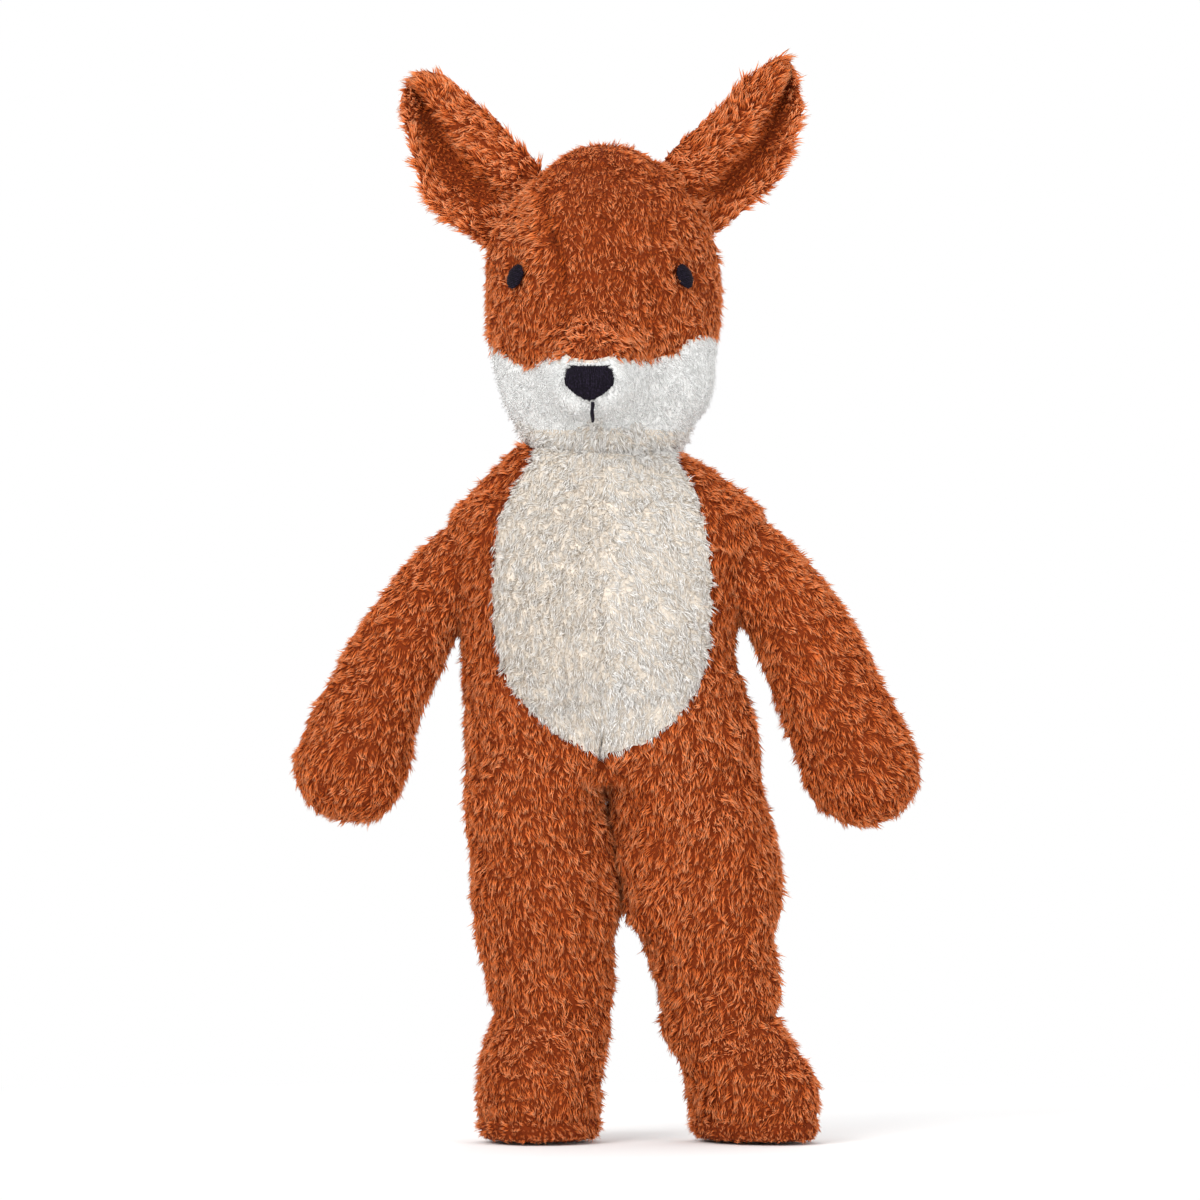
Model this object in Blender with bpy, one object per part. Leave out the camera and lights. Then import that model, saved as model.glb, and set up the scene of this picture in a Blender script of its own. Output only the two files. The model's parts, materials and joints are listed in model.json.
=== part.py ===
"""A standing plush fox: sewn pile panels over stuffing, with a turning head and jointed limbs.

The fox faces -Y and stands on its soles at z = 0. Left and right are as seen from the front,
so left is -X. Every cloth panel is a shell cut from its form along the seams, and the stuffing
fills the form inside the cloth. Metres, +Z up.
"""

import math

import bmesh
import bpy
from mathutils import Matrix, Vector
from mathutils.geometry import tessellate_polygon

MM = 0.001

# Cloth, seams and clearances
CLOTH = 2.4 * MM
SEAM = 0.3 * MM
LINING_GAP = 0.3 * MM
TURN_GAP = 0.5 * MM
TURN_SPARE = math.radians(2)
OVERRUN = 30 * MM
WELD = 0.002 * MM

# Torso, standing on the hips: the heights above follow from these
HIP_HEIGHT = 122 * MM
TORSO_UNDER_HIP = 10 * MM
TORSO_HEIGHT = 103 * MM
TORSO_HALF_WIDTH = 49 * MM
TORSO_FRONT_DEPTH = 36 * MM
TORSO_BACK_DEPTH = 31 * MM
TORSO_CENTRE_X = -1 * MM
SIDE_SEAM_Y = 2 * MM
BELLY_OVER_SEAT = 5 * MM
BELLY_LIFT = 12.6 * MM
BELLY_HALF_WIDTH = 35.5 * MM
TORSO_BOTTOM = HIP_HEIGHT - TORSO_UNDER_HIP
NECK_SEAT = TORSO_BOTTOM + TORSO_HEIGHT
BELLY_TOP = NECK_SEAT + BELLY_OVER_SEAT
BELLY_BOTTOM = TORSO_BOTTOM + BELLY_LIFT

# Shares of the torso: height from bottom to seat, width to the left and to the right of its
# middle, front depth and back depth
TORSO_SHARES = (
    (0.0, 0.93, 1.12, 0.76, 0.86),
    (0.12, 0.925, 1.105, 0.79, 0.94),
    (0.24, 0.941, 1.03, 0.84, 0.99),
    (0.35, 0.937, 0.965, 0.91, 1.0),
    (0.46, 0.94, 0.925, 0.98, 0.98),
    (0.58, 0.97, 0.96, 1.0, 0.97),
    (0.70, 1.0, 0.99, 0.99, 0.96),
    (0.80, 0.99, 0.985, 0.95, 0.93),
    (0.88, 0.97, 0.975, 0.89, 0.90),
    (0.94, 0.89, 0.90, 0.84, 0.86),
    (1.0, 0.76, 0.77, 0.78, 0.80),
)
# Shares of the belly patch: half width to the left and right at shares of its height, from the top
BELLY_SHARES = (
    (0.0, 0.62, 0.68),
    (0.07, 0.77, 0.79),
    (0.17, 0.90, 0.89),
    (0.30, 0.985, 0.96),
    (0.45, 1.0, 1.0),
    (0.60, 0.985, 1.0),
    (0.72, 0.90, 0.93),
    (0.82, 0.72, 0.80),
    (0.90, 0.50, 0.60),
    (0.96, 0.26, 0.38),
    (1.0, 0.0, 0.0),
)

# Neck: a dome on the torso's seat that the head nods over
NECK_SINK = 9 * MM
NECK_RADIUS = 27 * MM
NECK_HEIGHT = 6.5 * MM
COLLAR_BORE = 22.5 * MM
NECK_PIVOT = Vector((0.0, 0.0, NECK_SEAT - NECK_SINK))
HEAD_RIM = NECK_SEAT + NECK_HEIGHT

# Head: a tall egg with a tapering muzzle
HEAD_OVER_SEAT = 56 * MM
HEAD_SHIFT = -0.5 * MM
HEAD_HALF_WIDTH = 39.5 * MM
HEAD_HALF_DEPTH = 38 * MM
HEAD_CROWN = 51 * MM
HEAD_JAW = 64 * MM
HEAD_CENTRE = Vector((HEAD_SHIFT, 0.0, NECK_SEAT + HEAD_OVER_SEAT))
MUZZLE_ROOT_OFFSET = Vector((-0.5 * MM, -12 * MM, -16 * MM))
MUZZLE_ROOT_RADIUS = 29 * MM
MUZZLE_END_OFFSET = Vector((-4 * MM, -52 * MM, -26.5 * MM))
MUZZLE_END_RADIUS = 14.5 * MM
MUZZLE_BLEND = 9 * MM
MUZZLE_ROOT = HEAD_CENTRE + MUZZLE_ROOT_OFFSET
MUZZLE_END = HEAD_CENTRE + MUZZLE_END_OFFSET
GUSSET_HALF_WIDTH = 15.5 * MM
CHEEK_BACK_EDGE = 9 * MM
THROAT_HEIGHT = 8 * MM
THROAT_EDGE = HEAD_RIM + THROAT_HEIGHT
# Upper edge of the white cheeks: shares of the head's half width, then of its jaw's height
CHEEK_EDGE_SHARES = ((-0.95, 0.21), (-0.64, 0.335), (-0.42, 0.307), (0.55, 0.307), (0.72, 0.21))

# Embroidery on the face
EYE_LIFT = 7 * MM
EYE_PLACES = {"left": -28.8 * MM, "right": 25.6 * MM}
EYE_WIDTH = 5.6 * MM
EYE_HEIGHT = 8 * MM
EYE_LEAN = math.radians(14)
NOSE_OFFSET = Vector((-0.5 * MM, 0.0, -1 * MM))
NOSE_CENTRE = MUZZLE_END + NOSE_OFFSET
NOSE_WIDTH = 15.4 * MM
NOSE_HEIGHT = 11.5 * MM
NOSE_NARROWING_SHARE = 0.28
MOUTH_OFFSET = Vector((1 * MM, 0.0, -6.4 * MM))
MOUTH_LENGTH = 6.6 * MM
MOUTH_WIDTH = 1.4 * MM
STITCH_HEIGHT = 1.0 * MM
# Rows of each pad: shares of its outline, then of the stitches' height
PAD_UNDER_SHARES = (0.5, 1.0)
PAD_OVER_SHARES = ((0.94, 0.55), (0.5, 0.95))

# Ears, as a leaf over the line where they are sewn on
EAR_SPREAD = 30.5 * MM
EAR_BEHIND = 4 * MM
EAR_LIFT = 32 * MM
EAR_ROOT = Vector((EAR_SPREAD, EAR_BEHIND, HEAD_CENTRE.z + EAR_LIFT))
EAR_ROOT_TILT = math.radians(57)
EAR_ROOT_HALF_WIDTH = 15.5 * MM
EAR_HALF_WIDTH = 18 * MM
EAR_LENGTH = 50 * MM
EAR_LEAN = math.radians(-17)
EAR_THICKNESS = 7 * MM
EAR_CUP = 9 * MM
EAR_FORWARD = math.radians(40)
EAR_BACK = math.radians(20)
EAR_ROW_SHARES = (0.0, 0.15, 0.35, 0.58, 0.78, 0.9, 0.965)
EAR_ACROSS_SHARES = (-1.0, -0.75, 0.0, 0.75, 1.0)
EAR_SWELL_END_SHARE = 0.71
EAR_TAPER_START_SHARE = 0.3
EAR_CUP_START_SHARE = 0.4
EAR_EDGE_LEAST_SHARE = 0.3
EAR_TIP_THINNING_SHARE = 0.25

# Arms: a ball in the armhole, a bent tube and a round hand
SHOULDER_SPREAD = 46 * MM
SHOULDER_DROP = 30 * MM
SHOULDER = Vector((SHOULDER_SPREAD, 0.0, NECK_SEAT - SHOULDER_DROP))
ARM_RADIUS = 15.5 * MM
HAND_RADIUS = 19 * MM
ARM_REACH = Vector((36.4 * MM, -4 * MM, -64.5 * MM))
ARM_REST_FROM_DOWN = math.radians(36)
ARM_DOWN = math.radians(4)
WADDING_RADIUS = 12 * MM
WADDING_REACH = 25 * MM
WADDING_START = 14 * MM
WADDING_INNER_FACE = SHOULDER_SPREAD - WADDING_REACH
WADDING_OUTER_FACE = SHOULDER_SPREAD - WADDING_START
# Shares of the arm's reach outwards, forwards and down, then of the way from the arm's
# radius to the hand's
ARM_SHARES = (
    (0.0, 0.0, 0.0, 0.0),
    (0.33, 0.0, 0.195, -0.05),
    (0.55, 0.25, 0.405, 0.3),
    (0.72, 0.5, 0.615, 0.45),
    (0.87, 0.75, 0.81, 0.85),
    (1.0, 1.0, 1.0, 1.0),
)

# Hips, legs and feet
HIP_RADIUS = 26.5 * MM
LEG_FORWARD = math.radians(90)
LEG_BACK = math.radians(15)
CROTCH_GAP = 1.2 * MM
LEG_HALF_WIDTH = 23 * MM
ANKLE_SHARE = 0.336
ANKLE = HIP_HEIGHT * ANKLE_SHARE
SOLE_THICKNESS = 6 * MM
SOLE_ROUNDING = 2 * MM
SOLE_TUCK = 1 * MM
FOOT_FORWARD = -8.5 * MM
FOOT_OUT = {"left": -3 * MM, "right": 24 * MM}
FOOT_TURN = {"left": math.radians(-3), "right": math.radians(22)}
FOOT_TURN_START_SHARE = 1.6
# Shares of a leg from over the hip to the foot: height over the soles in hip heights, way out
# to the left and the right foot, way forward, half width on the left and on the right, and
# half depth in hip radii
LEG_SHARES = (
    (1.23, -1.067, 0.0, 0.0, 0.861, 1.0, 1.0),
    (1.0, -0.167, 0.142, 0.0, 0.978, 1.148, 1.0),
    (0.852, 0.25, 0.22, 0.0, 1.02, 1.174, 0.981),
    (0.689, 0.97, 0.356, 0.06, 1.07, 1.146, 0.943),
    (0.525, 1.62, 0.417, 0.12, 1.028, 1.0, 0.868),
    (0.402, 1.95, 0.546, 0.175, 0.94, 0.90, 0.811),
    (ANKLE_SHARE, 2.15, 0.583, 0.235, 0.90, 0.896, 0.811),
    (0.246, 1.6, 0.746, 0.59, 0.89, 0.935, 0.925),
    (0.148, 1.1, 0.97, 0.88, 0.908, 0.938, 1.038),
)
# Shares of the foot's half width and half depth: just over the sole, on its edge, and under it
FOOT_SHARES = (0.896, 1.075)
SOLE_SHARES = (0.939, 1.113)
UNDER_SOLE_SHARES = (0.887, 1.068)

# Tail
TAIL_LIFT = 32 * MM
TAIL_ROOT = Vector((0.0, TORSO_BACK_DEPTH, TORSO_BOTTOM + TAIL_LIFT))
TAIL_FROM_DOWN = math.radians(38)
TAIL_LENGTH = 56 * MM
TAIL_RADIUS = 11 * MM
TAIL_ROOT_RADIUS = 6.5 * MM
TAIL_TIP_SHARE = 0.68
TAIL_RAISE = math.radians(65)
# Shares of the way along the tail, then of the way from its root's radius to its full one
TAIL_SHARES = ((0.0, 0.0), (0.25, 0.62), (0.5, 1.0), (0.72, 0.96), (0.88, 0.62), (0.97, 0.28))

# Sides and steps of round meshes
FORM_SIDES = 24
LIMB_SIDES = 14
BALL_SIDES = 20
SMALL_SIDES = 12
HEAD_RINGS = 20
HEAD_SIDES = 28
NEAR_SIDE_CROWDING = 0.45
HAND_STEPS = 3
TAIL_STEPS = 2
PLUG_STEPS = 4
COLLAR_STEPS = 14
HIP_STEPS = 16
ROUND_TOP_STEPS = 14
ROOM_STEPS = 8
HALVINGS = 40
SMOOTH_ANGLE = math.radians(40)

RUST = (0.46, 0.115, 0.028)
WHITE = (0.80, 0.77, 0.73)
CREAM = (0.79, 0.72, 0.62)
THREAD = (0.008, 0.008, 0.014)
FILLING = (0.78, 0.74, 0.66)
SIDES = {"left": -1, "right": 1}


def clear_scene():
    """Remove every object, so that the model stands alone."""
    for thing in list(bpy.data.objects):
        bpy.data.objects.remove(thing, do_unlink=True)


def cloth_material(name, colour, roughness):
    """A matte material without metal, named for what it is."""
    material = bpy.data.materials.get(name) or bpy.data.materials.new(name)
    material.use_nodes = True
    shader = material.node_tree.nodes["Principled BSDF"]
    shader.inputs["Base Color"].default_value = (*colour, 1.0)
    shader.inputs["Roughness"].default_value = roughness
    shader.inputs["Metallic"].default_value = 0.0
    return material


def add_object(name, mesh, material=None):
    """Link a mesh into the scene, shaded smooth, with its own material."""
    thing = bpy.data.objects.new(name, mesh)
    bpy.context.scene.collection.objects.link(thing)
    if material:
        mesh.materials.append(material)
    mesh.shade_smooth()
    mesh.set_sharp_from_angle(angle=SMOOTH_ANGLE)
    return thing


def finished_mesh(name, work):
    """Turn a bmesh with outward faces into a mesh of its own."""
    bmesh.ops.remove_doubles(work, verts=work.verts, dist=WELD)
    bmesh.ops.recalc_face_normals(work, faces=work.faces)
    mesh = bpy.data.meshes.new(name)
    work.to_mesh(mesh)
    work.free()
    return mesh


def rings_mesh(name, rings, first_tip=None, last_tip=None):
    """Skin closed rings of points in order, closing each end to a tip or its own middle."""
    work = bmesh.new()
    loops = [[work.verts.new(point) for point in ring] for ring in rings]
    for before, after in zip(loops, loops[1:]):
        count = len(before)
        for i in range(count):
            j = (i + 1) % count
            work.faces.new((before[i], before[j], after[j]))
            work.faces.new((before[i], after[j], after[i]))
    for loop, tip in ((loops[0], first_tip), (loops[-1], last_tip)):
        middle = tip or sum((v.co for v in loop), Vector()) / len(loop)
        apex = work.verts.new(middle)
        for i, corner in enumerate(loop):
            work.faces.new((corner, loop[(i + 1) % len(loop)], apex))
    return finished_mesh(name, work)


def guide(name, mesh):
    """A cutter: seen as a wire and never rendered."""
    cutter = add_object(name, mesh)
    cutter.hide_render = True
    cutter.display_type = "WIRE"
    return cutter


def block(name, low, high):
    """A cutting block between two corners."""
    work = bmesh.new()
    size = Vector(high) - Vector(low)
    place = Matrix.Translation((Vector(low) + Vector(high)) / 2) @ Matrix.Diagonal((*size, 1.0))
    bmesh.ops.create_cube(work, size=1.0, matrix=place)
    return guide(name, finished_mesh(name, work))


def prism(name, outline, start, end, to_world):
    """A cutter from a flat outline, drawn out from start to end along the frame's third axis."""
    work = bmesh.new()
    near = [work.verts.new(to_world @ Vector((a, b, start))) for a, b in outline]
    far = [work.verts.new(to_world @ Vector((a, b, end))) for a, b in outline]
    count = len(outline)
    for i in range(count):
        j = (i + 1) % count
        work.faces.new((near[i], near[j], far[j], far[i]))
    for corners in tessellate_polygon([[Vector((a, b, 0.0)) for a, b in outline]]):
        work.faces.new([near[i] for i in corners])
        work.faces.new([far[i] for i in corners])
    return guide(name, finished_mesh(name, work))


def ball_mesh(name, centre, radius, sides):
    """A sphere whose flat facets stay outside the named radius."""
    work = bmesh.new()
    grown = radius / math.cos(math.pi / sides) ** 2
    bmesh.ops.create_uvsphere(
        work, u_segments=sides, v_segments=sides // 2, radius=grown, matrix=Matrix.Translation(centre)
    )
    return finished_mesh(name, work)


def ring_at(radius, height, sides, to_world):
    """Points round the frame's third axis at one height."""
    turns = [2 * math.pi * k / sides for k in range(sides)]
    return [to_world @ Vector((radius * math.cos(a), radius * math.sin(a), height)) for a in turns]


def turned_mesh(name, profile, sides, to_world):
    """Turn a profile of (radius, height) about the frame's third axis; end radii are zero."""
    rings = []
    for radius, height in profile[1:-1]:
        rings.append(ring_at(radius, height, sides, to_world))
    first = to_world @ Vector((0.0, 0.0, profile[0][1]))
    last = to_world @ Vector((0.0, 0.0, profile[-1][1]))
    return rings_mesh(name, rings, first, last)


def keep(thing, region):
    """Keep only what lies inside the region."""
    modifier = thing.modifiers.new("keep " + region.name, "BOOLEAN")
    modifier.operation = "INTERSECT"
    modifier.solver = "EXACT"
    modifier.object = region


def cut(thing, *regions):
    """Take each region away."""
    for region in regions:
        modifier = thing.modifiers.new("cut " + region.name, "BOOLEAN")
        modifier.operation = "DIFFERENCE"
        modifier.solver = "EXACT"
        modifier.object = region


def frame_along(origin, third, first):
    """A right-handed frame at the origin, from its third axis and roughly its first."""
    up = Vector(third).normalized()
    along = (Vector(first) - up * up.dot(Vector(first))).normalized()
    across = up.cross(along)
    turn = Matrix((along, across, up)).transposed().to_4x4()
    return Matrix.Translation(origin) @ turn


def fan_outline(radius, low, high, reach, steps):
    """The room that a round-ended strip sweeps from angle low to high about its end.

    Angles are from the first axis, which is the strip's rest direction.
    """

    def edge(angle, side):
        along = (reach * math.cos(angle), reach * math.sin(angle))
        return along[0] - side * radius * math.sin(angle), along[1] + side * radius * math.cos(angle)

    points = [edge(high, 1)]
    start = high + math.pi / 2
    sweep = 2 * math.pi - (high - low + math.pi)
    grown = radius / math.cos(sweep / steps / 2)
    for k in range(steps):
        angle = start + sweep * (k + 0.5) / steps
        points.append((grown * math.cos(angle), grown * math.sin(angle)))
    points.append(edge(low, -1))
    return points


def smooth_least(a, b, blend):
    """The lesser of two distances, rounded where they are alike."""
    share = max(blend - abs(a - b), 0.0) / blend
    return min(a, b) - share * share * blend / 4


def egg_distance(point, centre, half_width, half_depth, above, below):
    """Roughly the distance to an egg with unlike heights above and below its middle."""
    offset = point - centre
    tall = above if offset.z > 0 else below
    scaled = Vector((offset.x / half_width, offset.y / half_depth, offset.z / tall))
    steep = Vector((scaled.x / half_width, scaled.y / half_depth, scaled.z / tall))
    if steep.length == 0:
        return -min(half_width, half_depth)
    return scaled.length * (scaled.length - 1) / steep.length


def cone_distance(point, start, start_radius, end, end_radius):
    """Distance to a cone with round ends."""
    along = end - start
    share = max(0.0, min(1.0, (point - start).dot(along) / along.length_squared))
    return (point - start - along * share).length - (start_radius + (end_radius - start_radius) * share)


def head_distance(point):
    """Distance to the head's form: a tall egg blended into a tapering muzzle."""
    skull = egg_distance(point, HEAD_CENTRE, HEAD_HALF_WIDTH, HEAD_HALF_DEPTH, HEAD_CROWN, HEAD_JAW)
    muzzle = cone_distance(point, MUZZLE_ROOT, MUZZLE_ROOT_RADIUS, MUZZLE_END, MUZZLE_END_RADIUS)
    return smooth_least(skull, muzzle, MUZZLE_BLEND)


def surface_along(start, direction, inset):
    """The last point of the head's surface on a ray, at an inset under the surface."""
    low, high = 0.0, 2 * (HEAD_CROWN + HEAD_JAW)
    for _ in range(HALVINGS):
        middle = (low + high) / 2
        if head_distance(start + direction * middle) < -inset:
            low = middle
        else:
            high = middle
    return start + direction * low


def head_mesh(name, inset, rings, sides):
    """The head's form as a closed mesh, with its sides crowded towards the muzzle."""
    loops = []
    for row in range(1, rings):
        polar = math.pi * row / rings
        loop = []
        for column in range(sides):
            share = 2 * math.pi * (column + 0.5) / sides
            around = share - NEAR_SIDE_CROWDING * math.sin(share)
            flat = math.sin(polar)
            direction = Vector((flat * math.sin(around), -flat * math.cos(around), math.cos(polar)))
            loop.append(surface_along(HEAD_CENTRE, direction, inset))
        loops.append(loop)
    top = surface_along(HEAD_CENTRE, Vector((0.0, 0.0, 1.0)), inset)
    bottom = surface_along(HEAD_CENTRE, Vector((0.0, 0.0, -1.0)), inset)
    return rings_mesh(name, loops, top, bottom)


def torso_rings(inset, stretch=0.0):
    """Egg-shaped sections of the torso from its bottom up to its seat under the neck.

    The first and last are moved out by the stretch, for a cutter that runs past both ends.
    """
    rings = []
    for height, left, right, front, back in TORSO_SHARES:
        z = TORSO_BOTTOM + height * (NECK_SEAT - TORSO_BOTTOM)
        z += stretch * ((height == 1.0) - (height == 0.0))
        ring = []
        for k in range(FORM_SIDES):
            turn = 2 * math.pi * k / FORM_SIDES
            a = TORSO_HALF_WIDTH * (right if math.sin(turn) > 0 else left) - inset
            deep = TORSO_FRONT_DEPTH * front if math.cos(turn) > 0 else TORSO_BACK_DEPTH * back
            ring.append(Vector((TORSO_CENTRE_X + a * math.sin(turn), -(deep - inset) * math.cos(turn), z)))
        rings.append(ring)
    return rings


def leg_sections(side):
    """Height, way out, way forward, half width and half depth of one leg from the hip to the sole."""
    out = FOOT_OUT[side]
    for height, left, right, forward, left_width, right_width, depth in LEG_SHARES:
        way, width = (left, left_width) if side == "left" else (right, right_width)
        yield height * HIP_HEIGHT, out * way, FOOT_FORWARD * forward, LEG_HALF_WIDTH * width, HIP_RADIUS * depth
    for height, (width, depth) in (
        (SOLE_THICKNESS + SOLE_TUCK, FOOT_SHARES),
        (SOLE_THICKNESS, SOLE_SHARES),
        (SOLE_ROUNDING, SOLE_SHARES),
        (0.0, UNDER_SOLE_SHARES),
    ):
        yield height, out, FOOT_FORWARD, LEG_HALF_WIDTH * width, HIP_RADIUS * depth


def leg_rings(side, inset, sides):
    """Oval sections of one leg and foot from the hip down to the sole."""
    sign = SIDES[side]
    middle = sign * (LEG_HALF_WIDTH + CROTCH_GAP / 2)
    rings = []
    for height, out, forward, half_width, half_depth in leg_sections(side):
        share = max(0.0, min(1.0, (ANKLE * FOOT_TURN_START_SHARE - height) / ANKLE))
        swing = Matrix.Rotation(FOOT_TURN[side] * share, 3, "Z")
        ring = []
        for k in range(sides):
            around = 2 * math.pi * (k + 0.5) / sides
            across = (half_width - inset) * math.sin(around)
            along = forward - (half_depth - inset) * math.cos(around)
            ring.append(Vector((middle + sign * out, 0.0, height)) + swing @ Vector((across, along, 0.0)))
        rings.append(ring)
    return rings


def capsule_rings(centres, radii, sides, cap_steps):
    """Rings round a bent path, with half-ball ends; returns the rings and the two tips."""
    rings = []
    count = len(centres)
    for index, (centre, radius) in enumerate(zip(centres, radii)):
        before = centres[max(index - 1, 0)]
        after = centres[min(index + 1, count - 1)]
        along = (after - before).normalized()
        side = Vector((0.0, 1.0, 0.0))
        side = (side - along * along.dot(side)).normalized()
        other = along.cross(side)
        offsets = [0.0]
        if index == 0:
            offsets = [-math.pi / 2 * (1 - k / cap_steps) for k in range(1, cap_steps + 1)]
        if index == count - 1:
            offsets = [math.pi / 2 * k / cap_steps for k in range(cap_steps)]
        for lift in offsets:
            centre_of_ring = centre + along * radius * math.sin(lift)
            wide = radius * math.cos(lift)
            turns = [2 * math.pi * k / sides for k in range(sides)]
            rings.append([centre_of_ring + (side * math.cos(t) + other * math.sin(t)) * wide for t in turns])
    first = centres[0] - (centres[1] - centres[0]).normalized() * radii[0]
    last = centres[-1] + (centres[-1] - centres[-2]).normalized() * radii[-1]
    return rings, first, last


def arm_mesh(name, side, inset, sides):
    """One arm: a ball at the shoulder, a bent tube and a round hand."""
    sign = SIDES[side]
    pivot = shoulder_of(side)
    centres, radii = [], []
    for out, forward, down, swell in ARM_SHARES:
        way = Vector((sign * ARM_REACH.x * out, ARM_REACH.y * forward, ARM_REACH.z * down))
        centres.append(pivot + way)
        radii.append(ARM_RADIUS + (HAND_RADIUS - ARM_RADIUS) * swell - inset)
    rings, first, last = capsule_rings(centres, radii, sides, HAND_STEPS)
    return rings_mesh(name, rings, first, last)


def shoulder_of(side):
    """The shoulder's pivot on one side."""
    return Vector((SIDES[side] * SHOULDER.x, SHOULDER.y, SHOULDER.z))


def outward_frame(side, origin):
    """A frame whose third axis points outwards from the body on one side."""
    return frame_along(origin, (SIDES[side], 0.0, 0.0), (0.0, 0.0, 1.0))


def shoulder_room(side):
    """The armhole's bore for the wadding, widening to the room that the arm swings through."""
    lean = ARM_REST_FROM_DOWN - ARM_DOWN - TURN_SPARE
    tube = ARM_RADIUS + TURN_GAP
    bore = WADDING_RADIUS + LINING_GAP
    reach = 2 * SHOULDER.x
    floor = WADDING_INNER_FACE - LINING_GAP - SHOULDER.x

    def cone(radius):
        return radius * math.tan(lean) - tube / math.cos(lean)

    profile = [(0.0, floor), (bore, floor), (bore, cone(bore)), (reach, cone(reach)), (0.0, cone(reach))]
    name = "shoulder_room_" + side
    return guide(name, turned_mesh(name, profile, BALL_SIDES, outward_frame(side, shoulder_of(side))))


def hip_room():
    """The round room across both hips, from the legs' backward swing to their forward one."""
    pivot = Vector((0.0, 0.0, HIP_HEIGHT))
    side_view = frame_along(pivot, (1.0, 0.0, 0.0), (0.0, 0.0, -1.0))
    half = 2 * TORSO_HALF_WIDTH
    outline = fan_outline(HIP_RADIUS + TURN_GAP, -LEG_FORWARD, LEG_BACK, half, HIP_STEPS)
    return prism("hip_room", outline, -half, half, side_view)


def round_top(name, radius, depth_reach):
    """What a leg keeps: everything under the hip line and a half round over it."""
    pivot = Vector((0.0, 0.0, HIP_HEIGHT))
    side_view = frame_along(pivot, (1.0, 0.0, 0.0), (0.0, 0.0, -1.0))
    steps = ROUND_TOP_STEPS
    points = [(2 * HIP_HEIGHT, -depth_reach), (2 * HIP_HEIGHT, depth_reach), (0.0, depth_reach)]
    for k in range(steps + 1):
        angle = math.pi / 2 + math.pi * k / steps
        points.append((radius * math.cos(angle), radius * math.sin(angle)))
    points.append((0.0, -depth_reach))
    half = 2 * TORSO_HALF_WIDTH
    return prism(name, points, -half, half, side_view)


def cheek_outline(grow, low=None, high=None):
    """The front view of the white cheeks, their upper edge moved up by grow, from low to high in x."""
    edge = [(HEAD_HALF_WIDTH * across, HEAD_CENTRE.z - HEAD_JAW * down) for across, down in CHEEK_EDGE_SHARES]
    wide = HEAD_HALF_WIDTH + OVERRUN
    edge = [(-wide, edge[0][1]), *edge, (wide, edge[-1][1])]
    outline = [(x, z + grow) for x, z in edge if (low is None or x > low) and (high is None or x < high)]
    nose_edge = edge[len(edge) // 2][1] + grow
    if low is not None:
        outline.insert(0, (low, nose_edge))
    if high is not None:
        outline.append((high, nose_edge))
    floor = HEAD_RIM - OVERRUN
    return outline + [(outline[-1][0], floor), (outline[0][0], floor)]


def front_view(y):
    """A frame for front-view outlines: first axis +X, second +Z, third -Y."""
    return frame_along(Vector((0.0, y, 0.0)), (0.0, -1.0, 0.0), (1.0, 0.0, 0.0))


def belly_outline(grow):
    """The front view of the belly patch, moved out by grow all round."""
    height = BELLY_TOP - BELLY_BOTTOM
    left, right = [], []
    for down, left_share, right_share in BELLY_SHARES:
        z = BELLY_TOP - down * height
        left.append((TORSO_CENTRE_X - BELLY_HALF_WIDTH * left_share, z))
        right.append((TORSO_CENTRE_X + BELLY_HALF_WIDTH * right_share, z))
    points = right + left[-2::-1]
    count = len(points)
    moved = []
    for i, (x, z) in enumerate(points):
        ahead = Vector(points[(i + 1) % count])
        behind = Vector(points[i - 1])
        along = (ahead - behind).normalized()
        moved.append((x - along.y * grow, z + along.x * grow))
    return moved


def unit_ring(share, steps):
    """Places round a disc, at a share of its radius."""
    turns = [2 * math.pi * k / steps for k in range(steps)]
    return [(share * math.cos(turn), share * math.sin(turn)) for turn in turns]


def on_face(x, z, lift):
    """The point of the face in front of (x, z), lifted off the surface."""
    start = Vector((x, HEAD_CENTRE.y, z))
    return surface_along(start, Vector((0.0, -1.0, 0.0)), -lift)


def embroidery(name, outline_at, material):
    """A domed pad of stitches that lies on the face, with a thin edge."""
    rings = []
    for share in PAD_UNDER_SHARES:
        rings.append([on_face(*outline_at(a, b), SEAM) for a, b in unit_ring(share, SMALL_SIDES)])
    for share, rise in PAD_OVER_SHARES:
        height = SEAM + STITCH_HEIGHT * rise
        rings.append([on_face(*outline_at(a, b), height) for a, b in unit_ring(share, SMALL_SIDES)])
    middle = outline_at(0.0, 0.0)
    mesh = rings_mesh(name, rings, on_face(*middle, SEAM), on_face(*middle, SEAM + STITCH_HEIGHT))
    return add_object(name, mesh, material)


def make_embroidery():
    """Two oval eyes, a rounded three-cornered nose and a short upright mouth line."""
    thread = cloth_material("embroidery_thread", THREAD, 0.6)

    def eye_at(side):
        lean = -SIDES[side] * EYE_LEAN

        def place(a, b):
            x = a * EYE_WIDTH / 2
            z = b * EYE_HEIGHT / 2
            across = EYE_PLACES[side] + x * math.cos(lean) + z * math.sin(lean)
            return across, HEAD_CENTRE.z + EYE_LIFT + z * math.cos(lean) - x * math.sin(lean)

        return place

    def nose_at(a, b):
        width = NOSE_WIDTH * (1 - NOSE_NARROWING_SHARE * (1 - b))
        return NOSE_CENTRE.x + a * width / 2, NOSE_CENTRE.z + b * NOSE_HEIGHT / 2

    def mouth_at(a, b):
        start = NOSE_CENTRE + MOUTH_OFFSET
        return start.x + a * MOUTH_WIDTH / 2, start.z - (1 - b) * MOUTH_LENGTH / 2

    for side in SIDES:
        embroidery("eye_" + side, eye_at(side), thread)
    embroidery("nose", nose_at, thread)
    embroidery("mouth", mouth_at, thread)


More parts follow.
